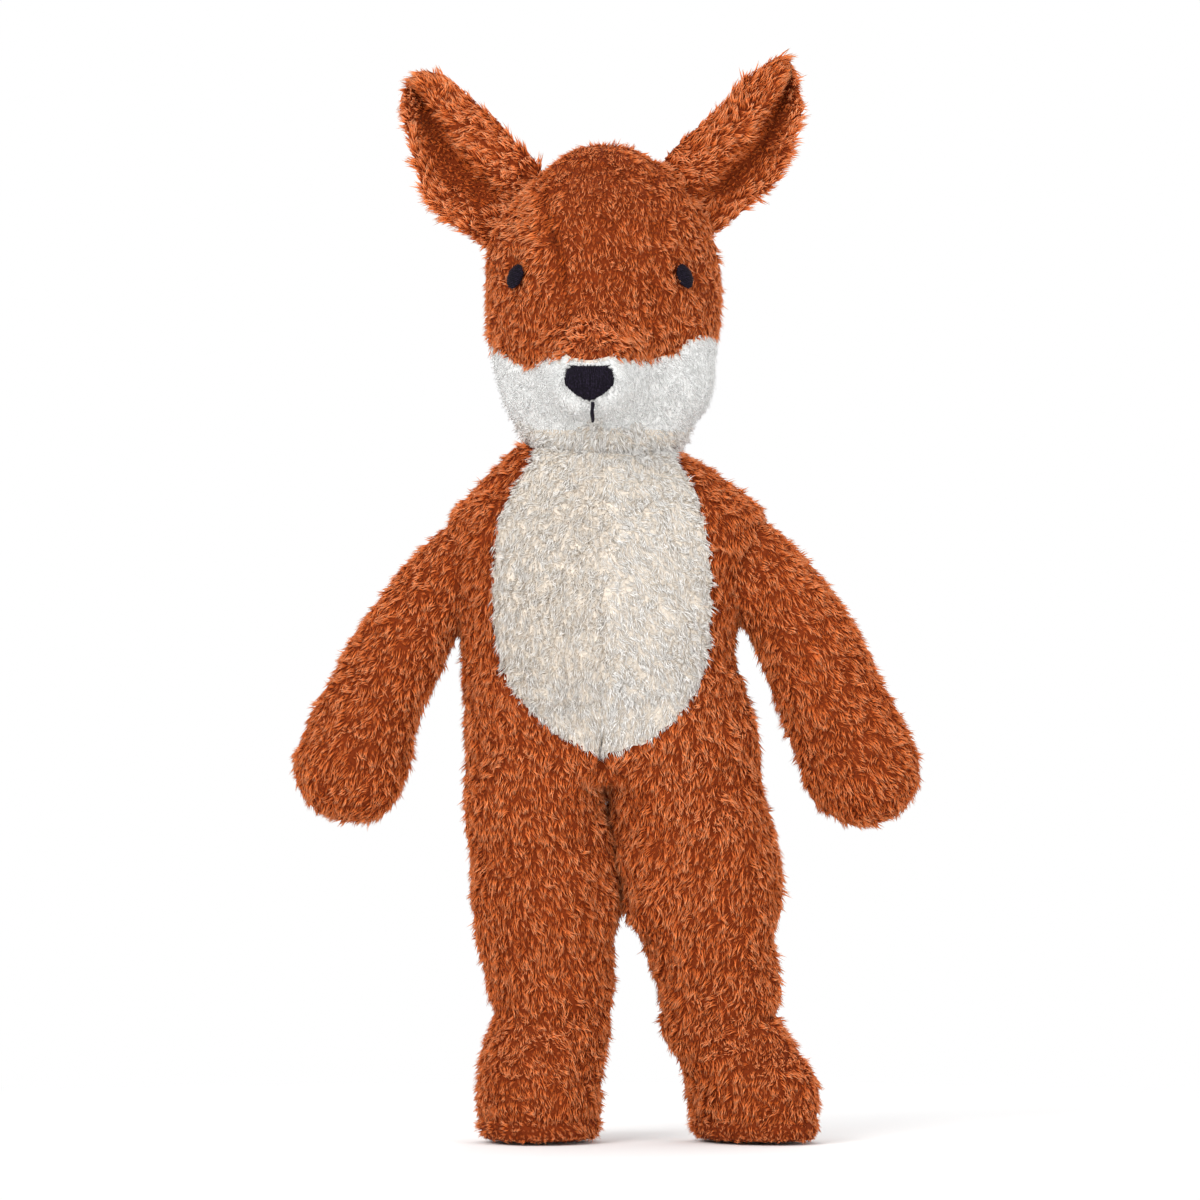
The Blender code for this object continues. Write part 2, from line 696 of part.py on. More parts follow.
def ear_frame(side):
    """The ear's own frame: first axis down the sewn line, second forward, third out along the ear."""
    sign = SIDES[side]
    origin = Vector((sign * EAR_ROOT.x, EAR_ROOT.y, EAR_ROOT.z))
    first = Vector((sign * math.cos(EAR_ROOT_TILT), 0.0, -math.sin(EAR_ROOT_TILT)))
    third = Vector((sign * math.sin(EAR_ROOT_TILT), 0.0, math.cos(EAR_ROOT_TILT)))
    second = Vector((0.0, -1.0, 0.0))
    turn = Matrix((first, second, third)).transposed().to_4x4()
    return Matrix.Translation(origin) @ turn


def ear_row(height):
    """Half width, middle, half thickness and share of the length at a height over the sewn line."""
    round_end = EAR_THICKNESS / 2
    share = max(height, 0.0) / EAR_LENGTH
    rise = math.sin(math.pi * min(share / EAR_SWELL_END_SHARE, 1.0))
    swell = EAR_ROOT_HALF_WIDTH + (EAR_HALF_WIDTH - EAR_ROOT_HALF_WIDTH) * rise
    past = max(0.0, share - EAR_TAPER_START_SHARE) / (1 - EAR_TAPER_START_SHARE)
    half = swell * math.sqrt(max(0.0, 1 - past**2))
    thick = math.sqrt(max(0.0, round_end**2 - min(height, 0.0) ** 2))
    return half, math.tan(EAR_LEAN) * max(height, 0.0), thick, share


def ear_layer(name, side, front, material):
    """One layer of an ear: a cupped leaf with a round root that turns on the sewn line."""
    to_world = ear_frame(side)
    sign = 1 if front else -1
    round_end = EAR_THICKNESS / 2
    heights = [-round_end, -round_end * math.cos(math.pi / 4)]
    heights += [EAR_LENGTH * share for share in EAR_ROW_SHARES]
    across = EAR_ACROSS_SHARES
    work = bmesh.new()
    inner, outer = [], []
    for height in heights:
        half, lean, thick, share = ear_row(height)
        cup = EAR_CUP * min(1.0, share / EAR_CUP_START_SHARE) * (half / EAR_HALF_WIDTH) ** 2
        row_in, row_out = [], []
        for place in across:
            bend = cup * place * place
            edge = math.sqrt(max(0.0, 1 - place**4)) * min(1.0, (1 - share) / EAR_TIP_THINNING_SHARE)
            rounding = edge if height > 0 else 1.0
            lift = SEAM / 2 + max(thick - SEAM / 2, SEAM) * max(rounding, EAR_EDGE_LEAST_SHARE)
            x = lean + half * place
            row_in.append(work.verts.new(to_world @ Vector((x, bend + sign * SEAM / 2, height))))
            row_out.append(work.verts.new(to_world @ Vector((x, bend + sign * lift, height))))
        inner.append(row_in)
        outer.append(row_out)
    for rows in (inner, outer):
        for low, high in zip(rows, rows[1:]):
            for i in range(len(across) - 1):
                work.faces.new((low[i], low[i + 1], high[i + 1], high[i]))
    for row in (0, -1):
        for i in range(len(across) - 1):
            work.faces.new((inner[row][i], inner[row][i + 1], outer[row][i + 1], outer[row][i]))
    for column in (0, -1):
        for k in range(len(heights) - 1):
            work.faces.new((inner[k][column], inner[k + 1][column], outer[k + 1][column], outer[k][column]))
    return add_object(name, finished_mesh(name, work), material)


def ear_room(side):
    """The groove in the head that the ear's root turns in."""
    frame = ear_frame(side)
    to_prism = frame @ Matrix(((0, 0, 1, 0), (0, 1, 0, 0), (1, 0, 0, 0), (0, 0, 0, 1)))
    outline = fan_outline(EAR_THICKNESS / 2 + TURN_GAP, -EAR_BACK, EAR_FORWARD, OVERRUN, ROOM_STEPS)
    half = EAR_ROOT_HALF_WIDTH + TURN_GAP
    return prism("ear_room_" + side, outline, -half, half, to_prism)


def make_head():
    """The head's panels, its stuffing and the ears."""
    rust = cloth_material("rust_pile", RUST, 0.9)
    white = cloth_material("white_pile", WHITE, 0.9)
    cream = cloth_material("cream_pile", CREAM, 0.9)
    filling = cloth_material("stuffing", FILLING, 1.0)
    lining = guide("head_lining", head_mesh("head_lining", CLOTH, HEAD_RINGS // 2, HEAD_SIDES // 2))
    cup = guide("head_cup", ball_mesh("head_cup", NECK_PIVOT, NECK_RADIUS + TURN_GAP, BALL_SIDES))
    wide = HEAD_HALF_WIDTH + OVERRUN
    top = HEAD_CENTRE.z + HEAD_CROWN + OVERRUN
    deep = 3 * HEAD_HALF_DEPTH
    low = HEAD_RIM - 2 * OVERRUN
    under = block("under_head", (-wide, -deep, low), (wide, deep, HEAD_RIM))
    left_seam = HEAD_CENTRE.x - GUSSET_HALF_WIDTH
    right_seam = HEAD_CENTRE.x + GUSSET_HALF_WIDTH
    half = SEAM / 2
    ears = {side: ear_room(side) for side in SIDES}
    front = front_view(0.0)
    face_room = prism("face_room", cheek_outline(half), -CHEEK_BACK_EDGE - half, deep, front)
    throat_corner = (wide, CHEEK_BACK_EDGE - half, THROAT_EDGE - half)
    throat_region = block("throat_region", (-wide, -deep, low), throat_corner)
    throat_room = block("throat_room", (-wide, -deep, low), (wide, deep, THROAT_EDGE + half))
    regions = {
        "head_gusset": block("gusset_region", (left_seam + half, -deep, 0.0), (right_seam - half, deep, top)),
        "head_side_left": block("left_side_region", (-wide, -deep, 0.0), (left_seam - half, deep, top)),
        "head_side_right": block("right_side_region", (right_seam + half, -deep, 0.0), (wide, deep, top)),
    }
    for name, region in regions.items():
        panel = add_object(name, head_mesh(name, 0.0, HEAD_RINGS, HEAD_SIDES), rust)
        keep(panel, region)
        cut(panel, face_room, lining, cup, under)
        cut(panel, *(ears.values() if name == "head_gusset" else [ears[name.split("_")[-1]]]))
    seam = NOSE_CENTRE.x
    outlines = {"left": cheek_outline(-half, high=seam - half), "right": cheek_outline(-half, low=seam + half)}
    for side, outline in outlines.items():
        name = "cheek_" + side
        panel = add_object(name, head_mesh(name, 0.0, HEAD_RINGS, HEAD_SIDES), white)
        keep(panel, prism(name + "_region", outline, -CHEEK_BACK_EDGE + half, deep, front))
        cut(panel, throat_room, lining, cup, under)
    throat = add_object("throat", head_mesh("throat", 0.0, HEAD_RINGS, HEAD_SIDES), cream)
    keep(throat, throat_region)
    cut(throat, lining, cup, under)
    core = head_mesh("head_stuffing", CLOTH + LINING_GAP, HEAD_RINGS // 2, HEAD_SIDES // 2)
    stuffing = add_object("head_stuffing", core, filling)
    cut(stuffing, cup, under, *ears.values())
    for side in SIDES:
        ear_layer("ear_front_" + side, side, True, rust)
        ear_layer("ear_back_" + side, side, False, rust)


def make_neck():
    """A ring of pile round a firm plug, domed so that the head nods on it."""
    rust = cloth_material("rust_pile", RUST, 0.9)
    filling = cloth_material("stuffing", FILLING, 1.0)
    base = NECK_SEAT + SEAM - NECK_PIVOT.z
    to_world = Matrix.Translation(NECK_PIVOT)

    def dome(from_radius, steps):
        start = math.asin(from_radius / NECK_RADIUS)
        turns = [start * (1 - k / steps) for k in range(steps + 1)]
        return [(NECK_RADIUS * math.sin(turn), NECK_RADIUS * math.cos(turn)) for turn in turns]

    plug = COLLAR_BORE - SEAM
    profile = [(0.0, base), (plug, base)] + dome(plug, PLUG_STEPS)
    mesh = turned_mesh("neck_wadding", profile, BALL_SIDES, to_world)
    add_object("neck_wadding", mesh, filling)
    foot = math.sqrt(NECK_RADIUS**2 - base**2)
    band = [point for point in dome(foot, COLLAR_STEPS) if point[0] > COLLAR_BORE + SEAM]
    tip = (COLLAR_BORE, math.sqrt(NECK_RADIUS**2 - COLLAR_BORE**2))
    profile = [(COLLAR_BORE, base)] + band + [tip]
    work = bmesh.new()
    loops = []
    for radius, height in profile:
        loops.append([work.verts.new(point) for point in ring_at(radius, height, BALL_SIDES, to_world)])
    for before, after in zip(loops, loops[1:] + loops[:1]):
        for i in range(BALL_SIDES):
            j = (i + 1) % BALL_SIDES
            work.faces.new((before[i], before[j], after[j], after[i]))
    add_object("neck_collar", finished_mesh("neck_collar", work), rust)


def make_torso():
    """Belly, front and back panels with the armholes and the hip room, and the stuffing."""
    rust = cloth_material("rust_pile", RUST, 0.9)
    cream = cloth_material("cream_pile", CREAM, 0.9)
    filling = cloth_material("stuffing", FILLING, 1.0)
    shoulders = {side: shoulder_room(side) for side in SIDES}
    hip = hip_room()
    tail = tail_room()
    lining = guide("torso_lining", rings_mesh("torso_lining", torso_rings(CLOTH, OVERRUN)))
    half = SEAM / 2
    wide = 2 * TORSO_HALF_WIDTH
    deep = 2 * TORSO_FRONT_DEPTH
    top = NECK_SEAT + OVERRUN
    patch = prism("belly_region", belly_outline(-half), 0.0, deep, front_view(0.0))
    around = prism("belly_clearance", belly_outline(half), 0.0, deep, front_view(0.0))
    seam = {"left": TORSO_CENTRE_X - half, "right": TORSO_CENTRE_X + half}
    for side in SIDES:
        x_range = (-wide, seam["left"]) if side == "left" else (seam["right"], wide)
        front = block("front_half_" + side, (x_range[0], -deep, 0.0), (x_range[1], SIDE_SEAM_Y - half, top))
        back = block("back_half_" + side, (x_range[0], SIDE_SEAM_Y + half, 0.0), (x_range[1], deep, top))
        for name, region, material in (
            ("belly_" + side, patch, cream),
            ("front_" + side, None, rust),
            ("back_" + side, None, rust),
        ):
            panel = add_object(name, rings_mesh(name, torso_rings(0.0)), material)
            keep(panel, back if name.startswith("back") else front)
            if region:
                keep(panel, region)
            elif name.startswith("front"):
                cut(panel, around)
            cut(panel, lining, hip)
            if not name.startswith("belly"):
                cut(panel, shoulders[side])
            if name.startswith("back"):
                cut(panel, tail)
    core = rings_mesh("torso_stuffing", torso_rings(CLOTH + LINING_GAP))
    stuffing = add_object("torso_stuffing", core, filling)
    cut(stuffing, hip, tail, *shoulders.values())


def make_arms():
    """Front and back panels, stuffing and the wadding that each arm turns on."""
    rust = cloth_material("rust_pile", RUST, 0.9)
    filling = cloth_material("stuffing", FILLING, 1.0)
    deep = 2 * TORSO_FRONT_DEPTH
    wide = 3 * TORSO_HALF_WIDTH
    half = SEAM / 2
    front = block("arm_front_half", (-wide, -deep, 0.0), (wide, SHOULDER.y - half, 2 * SHOULDER.z))
    back = block("arm_back_half", (-wide, SHOULDER.y + half, 0.0), (wide, deep, 2 * SHOULDER.z))
    for side in SIDES:
        lining = guide("arm_lining_" + side, arm_mesh("arm_lining_" + side, side, CLOTH, LIMB_SIDES // 2))
        for name, region in (("arm_front_" + side, front), ("arm_back_" + side, back)):
            panel = add_object(name, arm_mesh(name, side, 0.0, LIMB_SIDES), rust)
            keep(panel, region)
            cut(panel, lining)
        core = arm_mesh("arm_stuffing_" + side, side, CLOTH + LINING_GAP, LIMB_SIDES // 2)
        add_object("arm_stuffing_" + side, core, filling)
        plug = [
            (0.0, WADDING_INNER_FACE),
            (WADDING_RADIUS, WADDING_INNER_FACE),
            (WADDING_RADIUS, WADDING_OUTER_FACE),
            (0.0, WADDING_OUTER_FACE),
        ]
        centre = Vector((0.0, SHOULDER.y, SHOULDER.z))
        name = "shoulder_wadding_" + side
        wadding = add_object(name, turned_mesh(name, plug, SMALL_SIDES, outward_frame(side, centre)), filling)
        socket = ball_mesh("socket_" + side, shoulder_of(side), ARM_RADIUS + TURN_GAP, BALL_SIDES)
        cut(wadding, guide("socket_" + side, socket))


def make_legs():
    """Leg, foot and sole panels, stuffing, and the gathered cloth over the front of each hip."""
    rust = cloth_material("rust_pile", RUST, 0.9)
    cream = cloth_material("cream_pile", CREAM, 0.9)
    filling = cloth_material("stuffing", FILLING, 1.0)
    half = SEAM / 2
    wide = 3 * TORSO_HALF_WIDTH
    deep = 3 * TORSO_FRONT_DEPTH
    top = 2 * HIP_HEIGHT
    outer_top = round_top("leg_top", HIP_RADIUS, deep)
    inner_top = round_top("leg_lining_top", HIP_RADIUS - CLOTH, deep)
    core_top = round_top("leg_core_top", HIP_RADIUS - CLOTH - LINING_GAP, deep)
    front = block("leg_front_half", (-wide, -deep, ANKLE + half), (wide, -half, top))
    back = block("leg_back_half", (-wide, half, ANKLE + half), (wide, deep, top))
    foot = block("foot_region", (-wide, -deep, SOLE_THICKNESS + half), (wide, deep, ANKLE - half))
    ground = block("sole_region", (-wide, -deep, -OVERRUN), (wide, deep, SOLE_THICKNESS - half))
    under = block("under_leg_core", (-wide, -deep, -OVERRUN), (wide, deep, SOLE_THICKNESS + LINING_GAP))
    fold_top = HIP_HEIGHT + HIP_RADIUS + TURN_GAP - SEAM
    hip_round = guide("hip_round", hip_cylinder("hip_round", HIP_RADIUS + SEAM))
    for side in SIDES:
        name = "leg_lining_" + side
        lining = guide(name, rings_mesh(name, leg_rings(side, CLOTH, LIMB_SIDES // 2)))
        keep(lining, inner_top)
        for name, region in (
            ("leg_front_" + side, front),
            ("leg_back_" + side, back),
            ("foot_upper_" + side, foot),
            ("sole_" + side, ground),
        ):
            panel = add_object(name, rings_mesh(name, leg_rings(side, 0.0, LIMB_SIDES)), rust)
            keep(panel, region)
            if name.startswith("leg"):
                keep(panel, outer_top)
            if not name.startswith("sole"):
                cut(panel, lining)
        name = "leg_stuffing_" + side
        core = add_object(name, rings_mesh(name, leg_rings(side, CLOTH + LINING_GAP, LIMB_SIDES // 2)), filling)
        keep(core, core_top)
        cut(core, under)
        low, high = (-wide, TORSO_CENTRE_X - half) if side == "left" else (TORSO_CENTRE_X + half, wide)
        room = block("gather_region_" + side, (low, -deep, HIP_HEIGHT), (high, -SEAM, fold_top))
        for name, material in (("hip_gather_" + side, rust), ("belly_tip_" + side, cream)):
            gather = add_object(name, rings_mesh(name, torso_rings(0.0)), material)
            keep(gather, room)
            if name.startswith("belly"):
                keep(gather, bpy.data.objects["belly_region"])
            else:
                cut(gather, bpy.data.objects["belly_clearance"])
            cut(gather, hip_round)


def hip_cylinder(name, radius):
    """A round bar along X through both hips."""
    pivot = Vector((-2 * TORSO_HALF_WIDTH, 0.0, HIP_HEIGHT))
    length = 4 * TORSO_HALF_WIDTH
    sides = BALL_SIDES
    grown = radius / math.cos(math.pi / sides)
    profile = [(0.0, 0.0), (grown, 0.0), (grown, length), (0.0, length)]
    return turned_mesh(name, profile, sides, frame_along(pivot, (1.0, 0.0, 0.0), (0.0, 0.0, 1.0)))


def tail_direction():
    """The way that the tail hangs."""
    return Vector((0.0, math.sin(TAIL_FROM_DOWN), -math.cos(TAIL_FROM_DOWN)))


def tail_room():
    """The room in the back that the tail's round root turns in."""
    frame = frame_along(TAIL_ROOT, (-1.0, 0.0, 0.0), tail_direction())
    half = TAIL_ROOT_RADIUS + TURN_GAP
    outline = fan_outline(half, -TURN_SPARE, TAIL_RAISE + TURN_SPARE, OVERRUN, ROOM_STEPS)
    return prism("tail_room", outline, -half, half, frame)


def make_tail():
    """A short brush with a white tip over its own stuffing."""
    rust = cloth_material("rust_pile", RUST, 0.9)
    white = cloth_material("white_pile", WHITE, 0.9)
    filling = cloth_material("stuffing", FILLING, 1.0)
    way = tail_direction()
    end = TAIL_ROOT + way * TAIL_LENGTH * TAIL_TIP_SHARE
    spread = TAIL_RADIUS - TAIL_ROOT_RADIUS

    def form(name, inset):
        centres = [TAIL_ROOT + way * (TAIL_LENGTH - TAIL_RADIUS) * place for place, _ in TAIL_SHARES]
        radii = [TAIL_ROOT_RADIUS + spread * swell - inset for _, swell in TAIL_SHARES]
        rings, first, last = capsule_rings(centres, radii, SMALL_SIDES, TAIL_STEPS)
        return rings_mesh(name, rings, first, last)

    frame = frame_along(end, way, (1.0, 0.0, 0.0))
    wide = 3 * TAIL_RADIUS
    square = [(-wide, -wide), (wide, -wide), (wide, wide), (-wide, wide)]
    before = prism("tail_brush_region", square, -2 * TAIL_LENGTH, -SEAM / 2, frame)
    after = prism("tail_tip_region", square, SEAM / 2, TAIL_LENGTH, frame)
    lining = guide("tail_lining", form("tail_lining", CLOTH))
    for name, region, material in (("tail_brush", before, rust), ("tail_tip", after, white)):
        panel = add_object(name, form(name, 0.0), material)
        keep(panel, region)
        cut(panel, lining)
    add_object("tail_stuffing", form("tail_stuffing", CLOTH + LINING_GAP), filling)


def main():
    clear_scene()
    make_head()
    make_embroidery()
    make_neck()
    make_torso()
    make_arms()
    make_legs()
    make_tail()


main()
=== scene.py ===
"""Looks of a standing plush fox: pile cloth sewn in panels over stuffing, with an embroidered face.

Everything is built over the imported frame, in metres. The fox faces -Y and stands on its soles at
z = 0. Left and right are as seen from the front, so left is -X. Each body of the frame gets its
backing cloth, and each panel of it a mesh of pile tufts that Geometry Nodes grow on that cloth.
"""

import json
import logging
import math
from collections.abc import Callable, Mapping, Sequence
from dataclasses import dataclass, field, replace
from enum import Enum
from functools import cache

import bmesh
import bpy
import numpy as np
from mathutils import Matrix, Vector

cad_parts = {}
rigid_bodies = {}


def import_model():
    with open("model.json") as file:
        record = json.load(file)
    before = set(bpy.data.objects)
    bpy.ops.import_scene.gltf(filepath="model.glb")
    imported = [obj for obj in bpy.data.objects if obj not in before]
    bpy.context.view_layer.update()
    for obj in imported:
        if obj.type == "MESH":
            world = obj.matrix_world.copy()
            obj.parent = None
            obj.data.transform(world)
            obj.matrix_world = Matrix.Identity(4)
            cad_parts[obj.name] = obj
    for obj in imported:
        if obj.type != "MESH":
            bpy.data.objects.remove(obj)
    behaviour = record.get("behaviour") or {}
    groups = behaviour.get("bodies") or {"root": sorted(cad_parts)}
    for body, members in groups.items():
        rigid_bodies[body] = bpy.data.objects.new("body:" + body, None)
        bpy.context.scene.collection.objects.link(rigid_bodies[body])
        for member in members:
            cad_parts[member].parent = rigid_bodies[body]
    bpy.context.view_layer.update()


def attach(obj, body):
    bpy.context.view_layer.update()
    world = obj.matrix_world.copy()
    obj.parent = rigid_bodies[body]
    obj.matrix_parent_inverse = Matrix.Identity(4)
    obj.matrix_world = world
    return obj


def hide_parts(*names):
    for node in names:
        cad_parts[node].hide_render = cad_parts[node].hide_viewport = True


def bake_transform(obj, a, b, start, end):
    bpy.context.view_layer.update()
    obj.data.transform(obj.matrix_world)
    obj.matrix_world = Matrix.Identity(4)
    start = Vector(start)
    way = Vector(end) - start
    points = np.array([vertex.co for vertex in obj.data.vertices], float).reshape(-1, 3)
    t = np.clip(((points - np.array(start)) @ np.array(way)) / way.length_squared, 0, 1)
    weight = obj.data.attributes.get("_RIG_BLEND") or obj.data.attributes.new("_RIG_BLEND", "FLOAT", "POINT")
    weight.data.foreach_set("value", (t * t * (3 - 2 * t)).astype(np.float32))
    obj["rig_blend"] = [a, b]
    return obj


LOG = logging.getLogger("plush_fox")
MM = 0.001
PILE_UV = "OFBake"
Points = np.ndarray


class Side(Enum):
    """Which side of the fox, as seen from the front."""

    LEFT = "left"
    RIGHT = "right"

    @property
    def sign(self) -> int:
        """-1 towards -X and 1 towards +X."""
        return -1 if self is Side.LEFT else 1

    @property
    def pick(self) -> int:
        """Which value of a pair for the left and the right belongs to this side."""
        return 0 if self is Side.LEFT else 1


def linear(hex_colour: str) -> tuple[float, float, float, float]:
    """Turn an sRGB hex value into a linear colour.

    Args:
        hex_colour: Six hex digits after a hash.

    Returns:
        Red, green, blue and an alpha of 1.
    """
    parts = [int(hex_colour[i : i + 2], 16) / 255 for i in (1, 3, 5)]
    return (*[c / 12.92 if c <= 0.04045 else ((c + 0.055) / 1.055) ** 2.4 for c in parts], 1.0)


def ramp(low: float, high: float, values: Points) -> Points:
    """Rise smoothly from 0 at low to 1 at high."""
    share = np.clip((values - low) / (high - low), 0.0, 1.0)
    return share * share * (3 - 2 * share)


def through(table: Sequence[Sequence[float]], places: Points) -> Points:
    """Follow the rows of a table along a smooth curve that doesn't overshoot.

    Args:
        table: Rows of a rising key and the values that belong to it.
        places: The keys to read at.

    Returns:
        One row of values for each place.
    """
    data = np.array(table, float)
    keys, values = data[:, 0], data[:, 1:]
    gaps = np.diff(keys)[:, None]
    steps = np.diff(values, axis=0) / gaps
    before, after = steps[:-1], steps[1:]
    agree = before * after > 0
    total = np.where(agree, before + after, 1.0)
    middle = np.where(agree, 2 * before * after / total, 0.0)
    slopes = np.vstack([steps[:1], middle, steps[-1:]])
    places = np.clip(places, keys[0], keys[-1])
    spot = np.clip(np.searchsorted(keys, places, side="right") - 1, 0, len(keys) - 2)
    gap = gaps[spot]
    t = ((places - keys[spot]) / gap[:, 0])[:, None]
    start = (1 + 2 * t) * (1 - t) ** 2 * values[spot] + t * (1 - t) ** 2 * gap * slopes[spot]
    end = t * t * (3 - 2 * t) * values[spot + 1] + t * t * (t - 1) * gap * slopes[spot + 1]
    return start + end


def ripple(points: Points, size: float, seed: int) -> Points:
    """Smooth lumps about as wide as size, between about -1 and 1, the same on each run."""
    picks = np.random.default_rng(seed)
    total = np.zeros(len(points))
    waves = 7
    for _ in range(waves):
        way = picks.normal(size=3)
        way *= math.pi / size / np.linalg.norm(way) * picks.uniform(0.7, 1.3)
        total += np.sin(points @ way + picks.uniform(0, 2 * math.pi))
    return total / math.sqrt(waves)


def unit(vectors: Points) -> Points:
    """Scale each vector to a length of 1."""
    return vectors / np.maximum(np.linalg.norm(vectors, axis=-1, keepdims=True), 1e-12)


def add_node(
    tree: bpy.types.NodeTree, kind: str, settings: Mapping | None = None, inputs: Mapping | None = None
) -> bpy.types.Node:
    """Add a node with its settings and links.

    Args:
        tree: The tree to add to.
        kind: The node's type name.
        settings: Properties of the node.
        inputs: For each input, by name or number, a value or the socket that feeds it.

    Returns:
        The new node.
    """
    node = tree.nodes.new(kind)
    for name, value in (settings or {}).items():
        setattr(node, name, value)
    for key, value in (inputs or {}).items():
        if isinstance(value, bpy.types.NodeSocket):
            tree.links.new(value, node.inputs[key])
        else:
            node.inputs[key].default_value = value
    return node


def new_surface(name: str) -> tuple[bpy.types.Material, bpy.types.NodeTree, bpy.types.Node]:
    """Start a material.

    Args:
        name: What the real material is called.

    Returns:
        The material, its tree, and its Principled shader.
    """
    material = bpy.data.materials.new(name)
    material.use_nodes = True
    tree = material.node_tree
    return material, tree, tree.nodes["Principled BSDF"]


def mixed(tree: bpy.types.NodeTree, factor: object, low: object, high: object) -> bpy.types.NodeSocket:
    """Mix two colours by a factor and give the result's socket."""
    node = add_node(tree, "ShaderNodeMix", {"data_type": "RGBA"}, {0: factor, 6: low, 7: high})
    return node.outputs[2]


def grained(tree: bpy.types.NodeTree, size: float, detail: float) -> bpy.types.NodeSocket:
    """A noise about as wide as size that stays fixed to the object, as a factor."""
    place = add_node(tree, "ShaderNodeTexCoord")
    inputs = {"Vector": place.outputs["Object"], "Scale": 1 / size, "Detail": detail}
    return add_node(tree, "ShaderNodeTexNoise", inputs=inputs).outputs[0]


@dataclass(frozen=True)
class Pile:
    """A pile cloth's fibres: their colours, the size of their tufts and how they lie.

    Colours run from a tuft's root over its middle to its tip, first for the darkest tufts and
    then for the lightest. The darker roots are painted shade among the tufts and the paler tips
    partly painted highlight.
    """

    name: str
    dark: tuple[str, str, str]
    light: tuple[str, str, str]
    length: float
    width: float
    spacing: float
    lean: float = 1.2
    tousle: float = 0.75
    curl: float = 0.8 * MM
    clump: float = 3.4 * MM
    gather: float = 0.3
    patches: float = 0.7
    speckle: float = 0.3
    curly_strands: int = 2
    straight_strands: int = 3
    variants: int = 8
    # Depth of a strand's section as a share of its width, and how far tufts turn about themselves
    flat: float = 1.0
    spin: float = 1.2

    @cache
    def material(self) -> bpy.types.Material:
        """Brushed polyester pile: matte, darker at the roots as painted shade between the tufts and paler at the
        tips as painted highlight.

        The map runs from dark to light tufts across and from root to tip upwards.
        """
        material, tree, shader = new_surface(self.name)
        place = add_node(tree, "ShaderNodeUVMap", {"uv_map": PILE_UV})
        parts = add_node(tree, "ShaderNodeSeparateXYZ", inputs={0: place.outputs[0]})
        ramps = []
        # The dark and the light set are mixed by each tuft's tone, which carries random tone and also painted shade
        # and light
        for colours in (self.dark, self.light):
            node = add_node(tree, "ShaderNodeValToRGB", inputs={0: parts.outputs[1]})
            stops = node.color_ramp.elements
            stops.new(0.45)
            for stop, spot, colour in zip(stops, (0.05, 0.45, 1.0), colours):
                stop.position = spot
                stop.color = linear(colour)
            ramps.append(node.outputs[0])
        tree.links.new(mixed(tree, parts.outputs[0], *ramps), shader.inputs["Base Color"])
        shader.inputs["Roughness"].default_value = 0.85
        shader.inputs["Specular IOR Level"].default_value = 0.12
        shader.inputs["Sheen Weight"].default_value = 0.06
        shader.inputs["Sheen Roughness"].default_value = 0.5
        shader.inputs["Sheen Tint"].default_value = linear(self.light[2])
        return material

    def sparse(self) -> "Pile":
        """The same pile, short and open, for cloth that only shows when a limb moves."""
        return replace(self, name=self.name + "_hidden", spacing=1.45 * MM, curly_strands=0, straight_strands=4)

    @cache
    def tufts(self) -> bpy.types.Collection:
        """Some tufts of a few tapering strands that lean together, standing on the origin."""
        group = bpy.data.collections.new(self.name + "_tufts")
        picks = np.random.default_rng(len(self.name))
        count = self.curly_strands + self.straight_strands
        for variant in range(self.variants):
            places, faces, heights, tones = [], [], [], []
            meeting = picks.normal(size=2) * 0.5 * self.width
            for strand in range(count):
                turn = 2 * math.pi * (strand + picks.uniform(-0.3, 0.3)) / count
                root = picks.uniform(0.7, 1.5) * self.width * np.array((math.cos(turn), math.sin(turn)))
                bend = picks.normal(size=2) * 0.6 * self.width
                long = self.length * picks.uniform(0.7, 1.08)
                tip = meeting * 1.6 + root * 0.7 + bend * 1.5 + (0.35 * self.length, 0.0)
                first, tone = len(places), picks.uniform(-0.5, 0.5)
                spin = picks.uniform(0, 2 * math.pi) if self.flat == 1 else math.pi
                rings = ((-0.12, 0.42), (0.45, 0.5)) if strand < self.curly_strands else ((-0.12, 0.5),)
                for height, wide in rings:
                    middle = root * (1 - height) + tip * max(height, 0.0) ** 2 + bend * height * (1 - height)
                    for corner in range(3):
                        around = spin + 2 * math.pi * corner / 3
                        offset = wide * self.width * np.array((self.flat * math.cos(around), math.sin(around)))
                        places.append((*(middle + offset), long * height))
                        heights.append(max(height, 0.0))
                places.append((*tip, long))
                heights.append(1.0)
                tones.extend([tone] * (len(places) - first))
                last = len(places) - 4
                for corner in range(3):
                    other = (corner + 1) % 3
                    if last > first:
                        faces.append((first + corner, first + other, last + other, last + corner))
                    faces.append((last + corner, last + other, last + 3))
                faces.append((first + 2, first + 1, first))
            mesh = bpy.data.meshes.new(f"{self.name}_tuft_{variant}")
            mesh.from_pydata(places, [], faces)
            for name, values in (("root_to_tip", heights), ("strand_tone", tones)):
                mesh.attributes.new(name, "FLOAT", "POINT").data.foreach_set("value", values)
            group.objects.link(bpy.data.objects.new(mesh.name, mesh))
        return group
